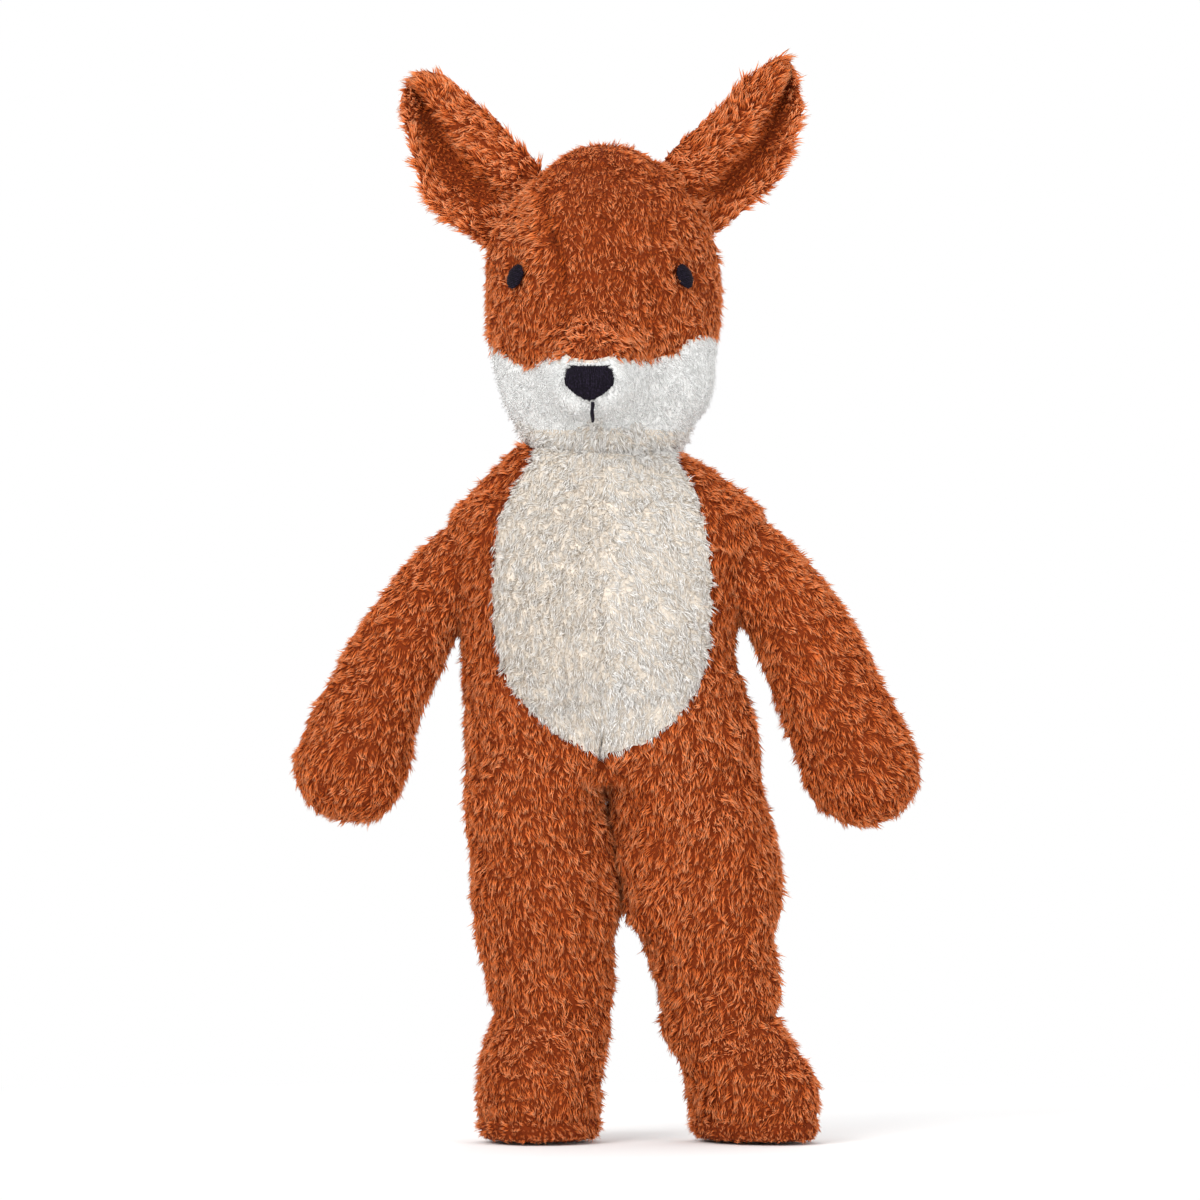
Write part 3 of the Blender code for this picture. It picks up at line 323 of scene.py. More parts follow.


# In every pile the darker roots are painted shade among the tufts and the paler tips partly painted highlight
RUST_PILE = Pile(
    name="rust_polyester_pile",
    dark=("#702006", "#b65017", "#c8632a"),
    light=("#b84f1a", "#df7a3f", "#ecab80"),
    length=2.9 * MM,
    width=0.4 * MM,
    spacing=1.19 * MM,
)
EAR_PILE = replace(
    RUST_PILE,
    name="rust_short_pile",
    length=2.8 * MM,
    width=0.39 * MM,
    spacing=1.08 * MM,
    lean=1.4,
    tousle=0.65,
    curl=1.0 * MM,
)
WHITE_PILE = Pile(
    name="white_brushed_pile",
    dark=("#dfdfdd", "#e2e2e0", "#e5e5e3"),
    light=("#e4e4e2", "#e7e7e6", "#eaeae9"),
    length=1.5 * MM,
    width=0.46 * MM,
    spacing=0.86 * MM,
    lean=1.9,
    tousle=0.35,
    curl=0.3 * MM,
    clump=5 * MM,
    gather=0.1,
    patches=0.2,
    flat=0.35,
    spin=0.3,
    straight_strands=4,
    curly_strands=0,
)
CREAM_PILE = Pile(
    name="cream_curly_pile",
    dark=("#bfac96", "#d3ccc3", "#dfdad4"),
    light=("#dcd7cf", "#e9e6e2", "#edebe8"),
    length=2.5 * MM,
    width=0.36 * MM,
    spacing=0.92 * MM,
    tousle=1.0,
    curl=0.8 * MM,
    clump=2.2 * MM,
    gather=0.3,
    flat=0.6,
    spin=0.8,
)


# The sizes that the pile's recipe takes as they are
PILE_SIZES = ("spacing", "lean", "tousle", "curl", "clump", "gather", "patches", "speckle", "spin")


@dataclass(frozen=True)
class BackingCloth:
    """The knitted ground that the pile stands on; its rust is darker than the pile, as painted shade between the
    tufts.
    """

    # Painted shade: darker than the rust pile, so that the ground between the tufts reads as shade
    rust: str = "#6e2a0c"
    cream: str = "#d3c8ba"
    white: str = "#dfdfdd"
    knit_size: float = 0.9 * MM
    knit_depth: float = 0.3 * MM

    @cache
    def material(self) -> bpy.types.Material:
        """Tricot knit: a fine dull grain that swallows light; cream and white like their piles, rust darker as
        painted shade.
        """
        material, tree, shader = new_surface("tricot_backing")
        pale = add_node(tree, "ShaderNodeAttribute", {"attribute_name": "pale"})
        where = add_node(tree, "ShaderNodeMath", {"operation": "GREATER_THAN"}, {0: pale.outputs["Fac"], 1: 0.0})
        white = add_node(tree, "ShaderNodeMath", {"operation": "GREATER_THAN"}, {0: pale.outputs["Fac"], 1: 1.0})
        grain = grained(tree, self.knit_size, 2.0)
        dark = add_node(tree, "ShaderNodeMapRange", inputs={0: grain, 3: 0.75, 4: 1.1})
        base = mixed(tree, where.outputs[0], linear(self.rust), linear(self.cream))
        base = mixed(tree, white.outputs[0], base, linear(self.white))
        multiply = {"data_type": "RGBA", "blend_type": "MULTIPLY"}
        shaded = add_node(tree, "ShaderNodeMix", multiply, {0: 1.0, 6: base, 7: dark.outputs[0]})
        tree.links.new(shaded.outputs[2], shader.inputs["Base Color"])
        knit = add_node(
            tree, "ShaderNodeBump", inputs={"Strength": 0.6, "Distance": self.knit_depth, "Height": grain}
        )
        tree.links.new(knit.outputs[0], shader.inputs["Normal"])
        shader.inputs["Roughness"].default_value = 0.95
        shader.inputs["Specular IOR Level"].default_value = 0.1
        return material


@dataclass(frozen=True)
class EmbroideryThread:
    """Rayon embroidery thread, almost black with a blue cast."""

    colour: str = "#09050e"
    # Painted highlight: the paler colour of the dashes along each stitch
    glint: str = "#251d2f"
    ply: float = 0.5 * MM

    @cache
    def material(self) -> bpy.types.Material:
        """Twisted filament: painted highlights in short paler dashes along each stitch."""
        material, tree, shader = new_surface("rayon_thread")
        share = add_node(tree, "ShaderNodeMapRange", inputs={0: grained(tree, self.ply, 1.0), 1: 0.45, 2: 0.75})
        tint = mixed(tree, share.outputs[0], linear(self.colour), linear(self.glint))
        tree.links.new(tint, shader.inputs["Base Color"])
        shader.inputs["Roughness"].default_value = 0.7
        shader.inputs["Specular IOR Level"].default_value = 0.12
        return material


@dataclass(frozen=True)
class FibreFill:
    """The polyester filling inside the toy."""

    colour: str = "#e6e0d4"
    # Painted shade: the darker colour that noise spreads among the clots
    hollow: str = "#c9c0b0"
    clump: float = 3 * MM

    @cache
    def material(self) -> bpy.types.Material:
        """Loose hollow fibre: off-white, matte and softly clotted, with painted shade in darker patches."""
        material, tree, shader = new_surface("polyester_fibre_fill")
        tint = mixed(tree, grained(tree, self.clump, 4.0), linear(self.hollow), linear(self.colour))
        tree.links.new(tint, shader.inputs["Base Color"])
        shader.inputs["Roughness"].default_value = 1.0
        return material


class NodeRecipe:
    """A Geometry Nodes tree with named inputs, made once and used on many pieces."""

    def __init__(self, name: str) -> None:
        """Start the tree with a geometry going in and one coming out."""
        self.tree = bpy.data.node_groups.new(name, "GeometryNodeTree")
        self.names: dict[str, str] = {}
        self.tree.interface.new_socket("Geometry", in_out="INPUT", socket_type="NodeSocketGeometry")
        self.tree.interface.new_socket("Geometry", in_out="OUTPUT", socket_type="NodeSocketGeometry")

    def declare(self, **kinds: str) -> bpy.types.Node:
        """Give the tree its named inputs.

        Args:
            **kinds: The socket type of each input.

        Returns:
            The node that the inputs come out of.
        """
        for name, kind in kinds.items():
            socket = self.tree.interface.new_socket(name, in_out="INPUT", socket_type="NodeSocket" + kind)
            self.names[name] = socket.identifier
        return self.tree.nodes.new("NodeGroupInput")

    def node(self, kind: str, settings: Mapping | None = None, inputs: Mapping | None = None) -> bpy.types.Node:
        """Add one node to the tree."""
        return add_node(self.tree, kind, settings, inputs)

    def maths(self, operation: str, *values: object) -> bpy.types.NodeSocket:
        """Work on numbers and give the result's socket."""
        return self.node("ShaderNodeMath", {"operation": operation}, dict(enumerate(values))).outputs[0]

    def vectors(self, operation: str, *values: object) -> bpy.types.NodeSocket:
        """Work on vectors and give the result's socket."""
        inputs = dict(enumerate(values))
        if operation == "SCALE":
            inputs = {0: values[0], "Scale": values[1]}
        return self.node("ShaderNodeVectorMath", {"operation": operation}, inputs).outputs[0]

    def attribute(self, name: object, kind: str = "FLOAT") -> bpy.types.NodeSocket:
        """Read a named attribute."""
        return self.node("GeometryNodeInputNamedAttribute", {"data_type": kind}, {"Name": name}).outputs[0]

    def apply(self, thing: bpy.types.Object, **values: object) -> None:
        """Run the tree on an object and leave it a plain mesh.

        Args:
            thing: The object that the tree works on.
            **values: The value of each named input.
        """
        modifier = thing.modifiers.new(self.tree.name, "NODES")
        modifier.node_group = self.tree
        for name, value in values.items():
            modifier[self.names[name]] = value
        shown = bpy.context.evaluated_depsgraph_get()
        shown.update()
        mesh = bpy.data.meshes.new_from_object(thing.evaluated_get(shown), depsgraph=shown)
        thing.modifiers.clear()
        thing.data = mesh
        mesh.name = thing.name


def pile_recipe() -> NodeRecipe:
    """Grow tufts over a cloth: spread points, lean a tuft on each along the nap, curl and map it.

    Returns:
        The recipe, whose inputs are the tufts, the mask's name, the sizes and the seed.
    """
    recipe = NodeRecipe("pile")
    given = recipe.declare(
        tufts="Collection",
        mask="String",
        **dict.fromkeys(PILE_SIZES, "Float"),
        seed="Int",
        material="Material",
    )
    out = given.outputs
    # Sizes of the noises that bend the locks' outlines, tint the patches and curl the tips
    warp_size, warp_reach = 3 * MM, 2.4 * MM
    patch_size, swirl_size = 7 * MM, 2.2 * MM
    middle = (0.5, 0.5, 0.5)
    mask = recipe.attribute(out["mask"])
    near = recipe.node("FunctionNodeCompare", {"operation": "GREATER_THAN"}, {0: mask, 1: -2.0 * MM})
    spread = recipe.node(
        "GeometryNodeDistributePointsOnFaces",
        {"distribute_method": "POISSON"},
        {
            "Mesh": out["Geometry"],
            "Selection": near.outputs[0],
            "Distance Min": out["spacing"],
            "Density Max": 3.5 / MM**2,
            "Seed": out["seed"],
        },
    )
    beyond = recipe.node("FunctionNodeCompare", {"operation": "LESS_THAN"}, {0: mask, 1: 0.0})
    points = recipe.node(
        "GeometryNodeDeleteGeometry",
        {"domain": "POINT"},
        {"Geometry": spread.outputs[0], "Selection": beyond.outputs[0]},
    )
    here = recipe.node("GeometryNodeInputPosition").outputs[0]

    def cloud(size: float, seed: float) -> bpy.types.Node:
        """A noise about as wide as size."""
        inputs = {"Vector": here, "W": seed, "Scale": 1 / size, "Detail": 1.0}
        return recipe.node("ShaderNodeTexNoise", {"noise_dimensions": "4D"}, inputs)

    def picked(low: float, high: float, seed: int) -> bpy.types.NodeSocket:
        """A random number for each tuft."""
        return recipe.node("FunctionNodeRandomValue", inputs={2: low, 3: high, 8: seed}).outputs[1]

    warp = recipe.vectors("SUBTRACT", cloud(warp_size, 21.0).outputs[1], middle)
    warped = recipe.vectors("ADD", here, recipe.vectors("SCALE", warp, warp_reach))
    locks = {"Vector": warped, "Scale": recipe.maths("DIVIDE", 1.0, out["clump"])}
    cells = recipe.node("ShaderNodeTexVoronoi", inputs=locks)
    inwards = recipe.vectors("SUBTRACT", cells.outputs["Position"], warped)
    normal = spread.outputs["Normal"]
    depth = recipe.node("ShaderNodeVectorMath", {"operation": "DOT_PRODUCT"}, {0: inwards, 1: normal})
    inwards = recipe.vectors("SUBTRACT", inwards, recipe.vectors("SCALE", normal, depth.outputs["Value"]))
    inwards = recipe.vectors("SCALE", inwards, recipe.maths("DIVIDE", out["gather"], out["clump"]))
    walls = recipe.node("ShaderNodeTexVoronoi", {"feature": "DISTANCE_TO_EDGE"}, locks)
    rim = recipe.node(
        "ShaderNodeMapRange",
        {"interpolation_type": "SMOOTHSTEP"},
        {0: walls.outputs[0], 1: 0.01, 2: 0.16, 3: 1.0, 4: 0.0},
    ).outputs[0]
    cell = recipe.node("ShaderNodeSeparateXYZ", inputs={0: cells.outputs["Color"]}).outputs[0]
    cell = recipe.maths("SUBTRACT", cell, 0.5)
    patch = recipe.maths("SUBTRACT", cloud(patch_size, 1.0).outputs[0], 0.5)
    patch = recipe.maths("ADD", patch, recipe.maths("MULTIPLY", cell, 0.5))
    # Painted shade: tufts by the locks' edges get a darker tone, standing for the shade in the crevices between
    # locks
    gap = recipe.maths("MULTIPLY", recipe.maths("SUBTRACT", rim, 0.3), -0.9)
    patch = recipe.maths("MULTIPLY", recipe.maths("ADD", patch, gap), out["patches"])
    grain = recipe.maths("MULTIPLY", picked(-0.5, 0.5, 3), out["speckle"])
    # The tone adds random patches and speckle to the cloth's stored shade, which carries painted shade and light
    tone = recipe.maths("ADD", recipe.maths("ADD", patch, grain), recipe.attribute("shade"))
    tone = recipe.node("ShaderNodeClamp", inputs={0: recipe.maths("ADD", tone, 0.5)}).outputs[0]
    toned = recipe.node(
        "GeometryNodeStoreNamedAttribute",
        {"data_type": "FLOAT", "domain": "POINT"},
        {"Geometry": points.outputs[0], "Name": "tone", "Value": tone},
    )
    nap = recipe.attribute("nap", "FLOAT_VECTOR")
    wide = recipe.vectors("SUBTRACT", cloud(patch_size, 5.0).outputs[1], middle)
    lock = recipe.vectors("SUBTRACT", cells.outputs["Color"], middle)
    stray = recipe.vectors("ADD", recipe.vectors("SCALE", wide, 2.4), recipe.vectors("SCALE", lock, 1.9))
    way = recipe.vectors("ADD", normal, recipe.vectors("SCALE", nap, out["lean"]))
    way = recipe.vectors("ADD", way, recipe.vectors("SCALE", inwards, 3.0))
    way = recipe.vectors("ADD", way, recipe.vectors("SCALE", stray, out["tousle"]))
    up = recipe.node("FunctionNodeAlignRotationToVector", {"axis": "Z"}, {"Vector": way})
    along = recipe.node(
        "FunctionNodeAlignRotationToVector",
        {"axis": "X", "pivot_axis": "Z"},
        {"Rotation": up.outputs[0], "Vector": nap},
    )
    angle = recipe.maths("MULTIPLY", picked(-1.0, 1.0, 7), out["spin"])
    spin = recipe.node("FunctionNodeAxisAngleToRotation", inputs={"Axis": (0.0, 0.0, 1.0), "Angle": angle})
    turned = recipe.node(
        "FunctionNodeRotateRotation", {"rotation_space": "LOCAL"}, {0: along.outputs[0], 1: spin.outputs[0]}
    )
    size = recipe.maths("MULTIPLY", picked(0.8, 1.2, 11), recipe.attribute("fur"))
    sunk = recipe.maths("MULTIPLY", out["patches"], 0.6)
    sunk = recipe.maths("MULTIPLY", recipe.maths("SUBTRACT", rim, 0.3), sunk)
    size = recipe.maths("MULTIPLY", size, recipe.maths("SUBTRACT", 1.0, sunk))
    kinds = recipe.node("GeometryNodeCollectionInfo", inputs={0: out["tufts"], 1: True, 2: True})
    chosen = recipe.node("FunctionNodeRandomValue", {"data_type": "INT"}, {4: 0, 5: 100, 8: 13}).outputs[2]
    planted = recipe.node(
        "GeometryNodeInstanceOnPoints",
        inputs={
            "Points": toned.outputs[0],
            "Instance": kinds.outputs[0],
            "Pick Instance": True,
            "Instance Index": chosen,
            "Rotation": turned.outputs[0],
            "Scale": size,
        },
    )
    real = recipe.node("GeometryNodeRealizeInstances", inputs={0: planted.outputs[0]})
    height = recipe.attribute("root_to_tip")
    swirl = recipe.vectors("SUBTRACT", cloud(swirl_size, 17.0).outputs[1], middle)
    swing = recipe.maths("MULTIPLY", recipe.maths("MULTIPLY", recipe.maths("POWER", height, 1.5), out["curl"]), 2.6)
    curl = recipe.vectors("SCALE", swirl, swing)
    curled = recipe.node("GeometryNodeSetPosition", inputs={"Geometry": real.outputs[0], "Offset": curl})
    across = recipe.maths("MULTIPLY", recipe.attribute("strand_tone"), 0.5)
    across = recipe.maths("ADD", recipe.attribute("tone"), across)
    across = recipe.node("ShaderNodeClamp", inputs={0: across, 1: 0.02, 2: 0.98}).outputs[0]
    upwards = recipe.maths("ADD", recipe.maths("MULTIPLY", height, 0.96), 0.02)
    spot = recipe.node("ShaderNodeCombineXYZ", inputs={0: across, 1: upwards})
    mapped = recipe.node(
        "GeometryNodeStoreNamedAttribute",
        {"data_type": "FLOAT2", "domain": "CORNER"},
        {"Geometry": curled.outputs[0], "Name": PILE_UV, "Value": spot.outputs[0]},
    )
    smooth = recipe.node("GeometryNodeSetShadeSmooth", inputs={0: mapped.outputs[0]})
    dressed = recipe.node("GeometryNodeSetMaterial", inputs={0: smooth.outputs[0], 2: out["material"]})
    recipe.node("NodeGroupOutput", inputs={0: dressed.outputs[0]})
    return recipe


def stitch_recipe() -> NodeRecipe:
    """Turn lines into raised round threads.

    Returns:
        The recipe, whose inputs are the thread's radius and its material.
    """
    recipe = NodeRecipe("stitches")
    out = recipe.declare(radius="Float", material="Material").outputs
    lines = recipe.node("GeometryNodeMeshToCurve", inputs={0: out["Geometry"]})
    ring = recipe.node("GeometryNodeCurvePrimitiveCircle", inputs={"Resolution": 6, "Radius": out["radius"]})
    tubes = recipe.node(
        "GeometryNodeCurveToMesh",
        inputs={
            "Curve": lines.outputs[0],
            "Profile Curve": ring.outputs[0],
            "Scale": recipe.attribute("taper"),
            "Fill Caps": True,
        },
    )
    smooth = recipe.node("GeometryNodeSetShadeSmooth", inputs={0: tubes.outputs[0]})
    real = recipe.node("GeometryNodeRealizeInstances", inputs={0: smooth.outputs[0]})
    dressed = recipe.node("GeometryNodeSetMaterial", inputs={0: real.outputs[0], 2: out["material"]})
    recipe.node("NodeGroupOutput", inputs={0: dressed.outputs[0]})
    return recipe


def shell(name: str, rows: Points) -> bpy.types.Object:
    """Skin rows of points into a closed shell.

    Args:
        name: The piece's name.
        rows: Points by row, round each row, and coordinate.

    Returns:
        The object, with its faces pointing outwards.
    """
    count, around, _ = rows.shape
    places = np.vstack([rows.reshape(-1, 3), rows[0].mean(0), rows[-1].mean(0)])
    first, last = count * around, count * around + 1
    faces: list[tuple[int, ...]] = []
    for c in range(around):
        d = (c + 1) % around
        faces.extend(
            (r * around + c, r * around + d, (r + 1) * around + d, (r + 1) * around + c) for r in range(count - 1)
        )
        faces.append((c, d, first))
        faces.append(((count - 1) * around + c, (count - 1) * around + d, last))
    mesh = bpy.data.meshes.new(name)
    mesh.from_pydata(places.tolist(), [], faces)
    work = bmesh.new()
    work.from_mesh(mesh)
    bmesh.ops.recalc_face_normals(work, faces=work.faces)
    work.to_mesh(mesh)
    work.free()
    mesh.shade_smooth()
    thing = bpy.data.objects.new(name, mesh)
    bpy.context.scene.collection.objects.link(thing)
    return thing


@dataclass
class Cloth:
    """A stuffed backing cloth as a closed shell that pile grows on."""

    thing: bpy.types.Object
    body: str
    blend_to: str | None = None
    blend_ends: tuple[tuple[float, float, float], tuple[float, float, float]] | None = None

    def places(self) -> Points:
        """Where the vertices are."""
        places = np.zeros(len(self.thing.data.vertices) * 3, np.float32)
        self.thing.data.vertices.foreach_get("co", places)
        return places.reshape(-1, 3).astype(float)

    def normals(self) -> Points:
        """Which way the cloth faces at each vertex."""
        normals = np.zeros(len(self.thing.data.vertices) * 3, np.float32)
        self.thing.data.vertex_normals.foreach_get("vector", normals)
        return normals.reshape(-1, 3).astype(float)

    def press(self, depths: Points) -> None:
        """Move each vertex inwards by its depth."""
        moved = self.places() - self.normals() * depths[:, None]
        self.thing.data.vertices.foreach_set("co", moved.astype(np.float32).ravel())
        self.thing.data.update()

    def store(self, name: str, values: Points) -> None:
        """Keep a number or a vector for each vertex under a name."""
        flat = values.ndim == 1
        mesh = self.thing.data
        kept = mesh.attributes.get(name) or mesh.attributes.new(name, "FLOAT" if flat else "FLOAT_VECTOR", "POINT")
        kept.data.foreach_set("value" if flat else "vector", values.astype(np.float32).ravel())

    def comb(self, way: Points, strength: Points | float = 1.0) -> None:
        """Lay the nap along a direction, as far as the cloth lets it."""
        normals = self.normals()
        flat = way - normals * (way * normals).sum(1, keepdims=True)
        self.store("nap", unit(flat) * np.asarray(strength).reshape(-1, 1))

    def settle(self, thing: bpy.types.Object) -> None:
        """Make a piece move as this cloth does."""
        if self.blend_to and self.blend_ends:
            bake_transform(thing, self.body, self.blend_to, *self.blend_ends)
        else:
            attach(thing, self.body)

    def finish(self, pale: Points, *nodes: str) -> None:
        """Dress the cloth itself and hide the frame's nodes that it stands for.

        Args:
            pale: For each vertex, above zero where the cloth is cream and above one where white.
            *nodes: The frame's nodes that the stuffed cloth stands for.
        """
        self.store("pale", pale)
        self.thing.data.materials.append(BackingCloth().material())
        self.settle(self.thing)
        if nodes:
            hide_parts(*nodes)


@dataclass
class PileGrower:
    """Grows each panel's pile and keeps count of it."""

    recipe: NodeRecipe = field(default_factory=pile_recipe)
    triangles: int = 0
    panels: int = 0

    def grow(self, cloth: Cloth, name: str, pile: Pile, mask: Points, slot: str, *nodes: str) -> bpy.types.Object:
        """Grow one panel of pile on a cloth.

        Args:
            cloth: The cloth, combed and with its fur lengths stored.
            name: The panel's name.
            pile: The pile's finish.
            mask: For each vertex, above zero inside the panel, in metres from its edge.
            slot: The record's material slot; not used.
            *nodes: The frame's nodes that the panel stands for.

        Returns:
            The panel.
        """
        cloth.store("panel", mask)
        panel = bpy.data.objects.new(name, cloth.thing.data)
        bpy.context.scene.collection.objects.link(panel)
        self.panels += 1
        self.recipe.apply(
            panel,
            tufts=pile.tufts(),
            mask="panel",
            **{size: getattr(pile, size) for size in PILE_SIZES},
            seed=self.panels,
            material=pile.material(),
        )
        for kept in list(panel.data.attributes):
            if kept.domain == "POINT" and kept.data_type in ("FLOAT", "FLOAT_VECTOR") and not kept.is_required:
                panel.data.attributes.remove(panel.data.attributes[kept.name])
        cloth.settle(panel)
        if nodes:
            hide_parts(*nodes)
        triangles = sum(len(face.vertices) - 2 for face in panel.data.polygons)
        self.triangles += triangles
        LOG.info("%s: %d triangles", name, triangles)
        return panel


def bump(*spans: tuple[Points, float]) -> Points:
    """A smooth hill that is 1 at its middle.

    Args:
        *spans: For each direction, the distances from the middle and the hill's width.

    Returns:
        The hill's height at each point.
    """
    fall = 0.0
    for distance, width in spans:
        fall = fall - (distance / width) ** 2
    return np.exp(fall)


def groove(distance: Points, depth: float, width: float) -> Points:
    """How far a seam pulls the cloth in at a distance from it."""
    return depth * bump((distance, width))


def lumps_of(points: Points, *layers: tuple[float, float, int]) -> Points:
    """How uneven the filling makes the cloth.

    Args:
        points: Where to read it.
        *layers: The height, the size and the seed of each layer of lumps.

    Returns:
        How far the cloth is pushed out at each point.
    """
    total = np.zeros(len(points))
    for height, size, seed in layers:
        total = total + height * ripple(points, size, seed)
    return total


@dataclass
class Head:
    """The head: an egg with a tapering muzzle, panelled, with an embroidered face and two ears."""

    centre: tuple[float, float, float] = (-0.5 * MM, 0.0, 271 * MM)
    half_width: float = 39.5 * MM
    half_depth: float = 38 * MM
    crown: float = 51 * MM
    jaw: float = 64 * MM
    muzzle_root: tuple[float, float, float] = (-1 * MM, -12 * MM, 255 * MM)
    muzzle_root_radius: float = 29 * MM
    muzzle_end: tuple[float, float, float] = (-4.5 * MM, -52 * MM, 244.5 * MM)
    muzzle_end_radius: float = 14.5 * MM
    muzzle_blend: float = 9 * MM
    gusset_half_width: float = 15.5 * MM
    cheek_back: float = 9 * MM
    throat_edge: float = 229.5 * MM
    lowest: float = 214 * MM
    pile_room: float = 2.3 * MM
    # The white cheeks' upper edge, as places across and heights
    cheek_edge: tuple[tuple[float, float], ...] = (
        (-60 * MM, 258 * MM),
        (-38 * MM, 257.3 * MM),
        (-32 * MM, 252.6 * MM),
        (-25.6 * MM, 248.6 * MM),
        (-18 * MM, 251.0 * MM),
        (-6 * MM, 251.4 * MM),
        (6.4 * MM, 251.2 * MM),
        (10.2 * MM, 250.3 * MM),
        (21.8 * MM, 252.4 * MM),
        (28.2 * MM, 257.8 * MM),
        (33 * MM, 259 * MM),
        (60 * MM, 258 * MM),
    )
    eye_height: float = 278 * MM
    eye_places: tuple[float, float] = (-28.8 * MM, 25.6 * MM)
    eye_size: tuple[float, float] = (4.9 * MM, 8.0 * MM)
    eye_lean: float = math.radians(22)
    nose_place: tuple[float, float] = (-5 * MM, 243.5 * MM)
    nose_size: tuple[float, float] = (15.6 * MM, 12 * MM)
    mouth_place: tuple[float, float] = (-4 * MM, 237.2 * MM)
    mouth_length: float = 6.5 * MM
    # Coarser than the real 0.15 mm, so that the stitches show
    thread_radius: float = 0.3 * MM
    rows: int = 84
    sides: int = 128

    def distance(self, points: Points) -> Points:
        """How far each point is outside the head's form."""
        offset = points - self.centre
        tall = np.where(offset[:, 2] > 0, self.crown, self.jaw)
        sizes = np.stack([np.full_like(tall, self.half_width), np.full_like(tall, self.half_depth), tall], 1)
        scaled = offset / sizes
        steep = np.linalg.norm(scaled / sizes, axis=1)
        far = np.linalg.norm(scaled, axis=1)
        skull = far * (far - 1) / np.maximum(steep, 1e-9)
        skull = np.where(far < 1e-6, -self.half_depth, skull)
        start, end = np.array(self.muzzle_root), np.array(self.muzzle_end)
        along = end - start
        share = np.clip((points - start) @ along / (along @ along), 0, 1)
        radius = self.muzzle_root_radius + (self.muzzle_end_radius - self.muzzle_root_radius) * share
        muzzle = np.linalg.norm(points - start - share[:, None] * along, axis=1) - radius
        soft = np.maximum(self.muzzle_blend - np.abs(skull - muzzle), 0.0) / self.muzzle_blend
        return np.minimum(skull, muzzle) - soft * soft * self.muzzle_blend / 4

    def meet(self, start: Points, way: Points, lift: Points | float) -> Points:
        """Follow rays out to the form, or to a lift over it.

        Args:
            start: Where each ray starts, inside the form.
            way: The direction of each ray.
            lift: How far over the form to stop.

        Returns:
            The points reached.
        """
        low, high = np.zeros(len(way)), np.full(len(way), 4 * self.crown)
        for _ in range(36):
            middle = (low + high) / 2
            inside = self.distance(start + way * middle[:, None]) < lift
            low, high = np.where(inside, middle, low), np.where(inside, high, middle)
        return start + way * low[:, None]

    def on_face(self, x: Points, z: Points, lift: Points | float) -> Points:
        """The face's points in front of places across and heights."""
        start = np.stack([x, np.full_like(x, self.centre[1]), z], 1)
        return self.meet(start, np.tile((0.0, -1.0, 0.0), (len(x), 1)), lift)

    def pale(self, points: Points) -> Points:
        """Distance inside the white and cream part of the head, above zero there."""
        below = through(self.cheek_edge, points[:, 0])[:, 0] - points[:, 2]
        before = self.cheek_back - points[:, 1]
        soft = 9 * MM
        round_off = np.maximum(soft - np.abs(below - before), 0) ** 2 / (4 * soft)
        return np.minimum(below, before) - np.where(points[:, 1] > -5 * MM, round_off, 0)

    def stitched(self, points: Points) -> Points:
        """Distance outside the embroidery, below zero under it."""
        outside = np.full(len(points), 1.0)
        pads = [(x, self.eye_height, *self.eye_size) for x in self.eye_places]
        pads.append((*self.nose_place, *self.nose_size))
        mouth = self.mouth_place[1] - self.mouth_length / 2
        pads.append((self.mouth_place[0], mouth, 1.6 * MM, self.mouth_length))
        for x, z, width, height in pads:
            far = np.hypot((points[:, 0] - x) / (width / 2), (points[:, 2] - z) / (height / 2))
            away = (far - 1) * min(width, height) / 2
            outside = np.minimum(outside, np.where(points[:, 1] < -10 * MM, away, 1.0))
        return outside

    def build(self, grower: PileGrower) -> None:
        """Make the head's cloth, its pile and its embroidery."""
        rows = []
        for row in range(1, self.rows):
            polar = math.pi * row / self.rows
            share = 2 * math.pi * (np.arange(self.sides) + 0.5) / self.sides
            around = share - 0.45 * np.sin(share)
            flat = math.sin(polar)
            way = np.stack([flat * np.sin(around), -flat * np.cos(around), np.full(self.sides, math.cos(polar))], 1)
            rows.append(self.meet(np.tile(self.centre, (self.sides, 1)), way, -self.pile_room))
        cloth = Cloth(shell("head_cloth", np.array(rows)), "head")
        p = cloth.places()
        x, y, z = p.T
        pale = self.pale(p)
        left, right = self.centre[0] - self.gusset_half_width, self.centre[0] + self.gusset_half_width
        left = left + 4 * MM - 8 * MM * ramp(268 * MM, 312 * MM, z)
        deeper = 1 + 1.3 * bump((z - 290 * MM, 11 * MM))
        dents = groove(x - left, 1.0 * MM, 1.6 * MM) * np.where(pale < 0, deeper, 0)
        dents += groove(x - right, 0.8 * MM, 1.6 * MM) * np.where(pale < 0, 1, 0)
        dents += groove(pale, 0.7 * MM, 1.4 * MM) * np.where(y < 0, 1, 0.4)
        throat_edge = self.throat_edge + 2 * MM * ripple(p, 9 * MM, 6)
        dents += groove(z - self.throat_edge, 0.5 * MM, 3 * MM) * np.where(pale > 0, 1, 0)
        dents += 0.9 * MM * bump((np.maximum(self.stitched(p), 0), 2.5 * MM))
        lumps = lumps_of(p, (0.5 * MM, 22 * MM, 3), (0.3 * MM, 9 * MM, 4), (0.2 * MM, 4 * MM, 5))
        fuller = 1.9 * MM * ramp(15 * MM, 30 * MM, x) * bump((z - 240 * MM, 9 * MM))
        fuller += 1.2 * MM * ramp(20 * MM, 34 * MM, -x) * bump((z - 285 * MM, 14 * MM))
        fuller += 0.8 * MM * ramp(312 * MM, 320 * MM, z)
        cloth.press(dents - fuller - lumps * np.where(pale > 0, 0.4, 1.0))
        back = ramp(-5 * MM, 25 * MM, y)
        way = np.stack([0.25 * x / self.half_width, -0.4 + 1.2 * back, np.full_like(x, -1.0)], 1)
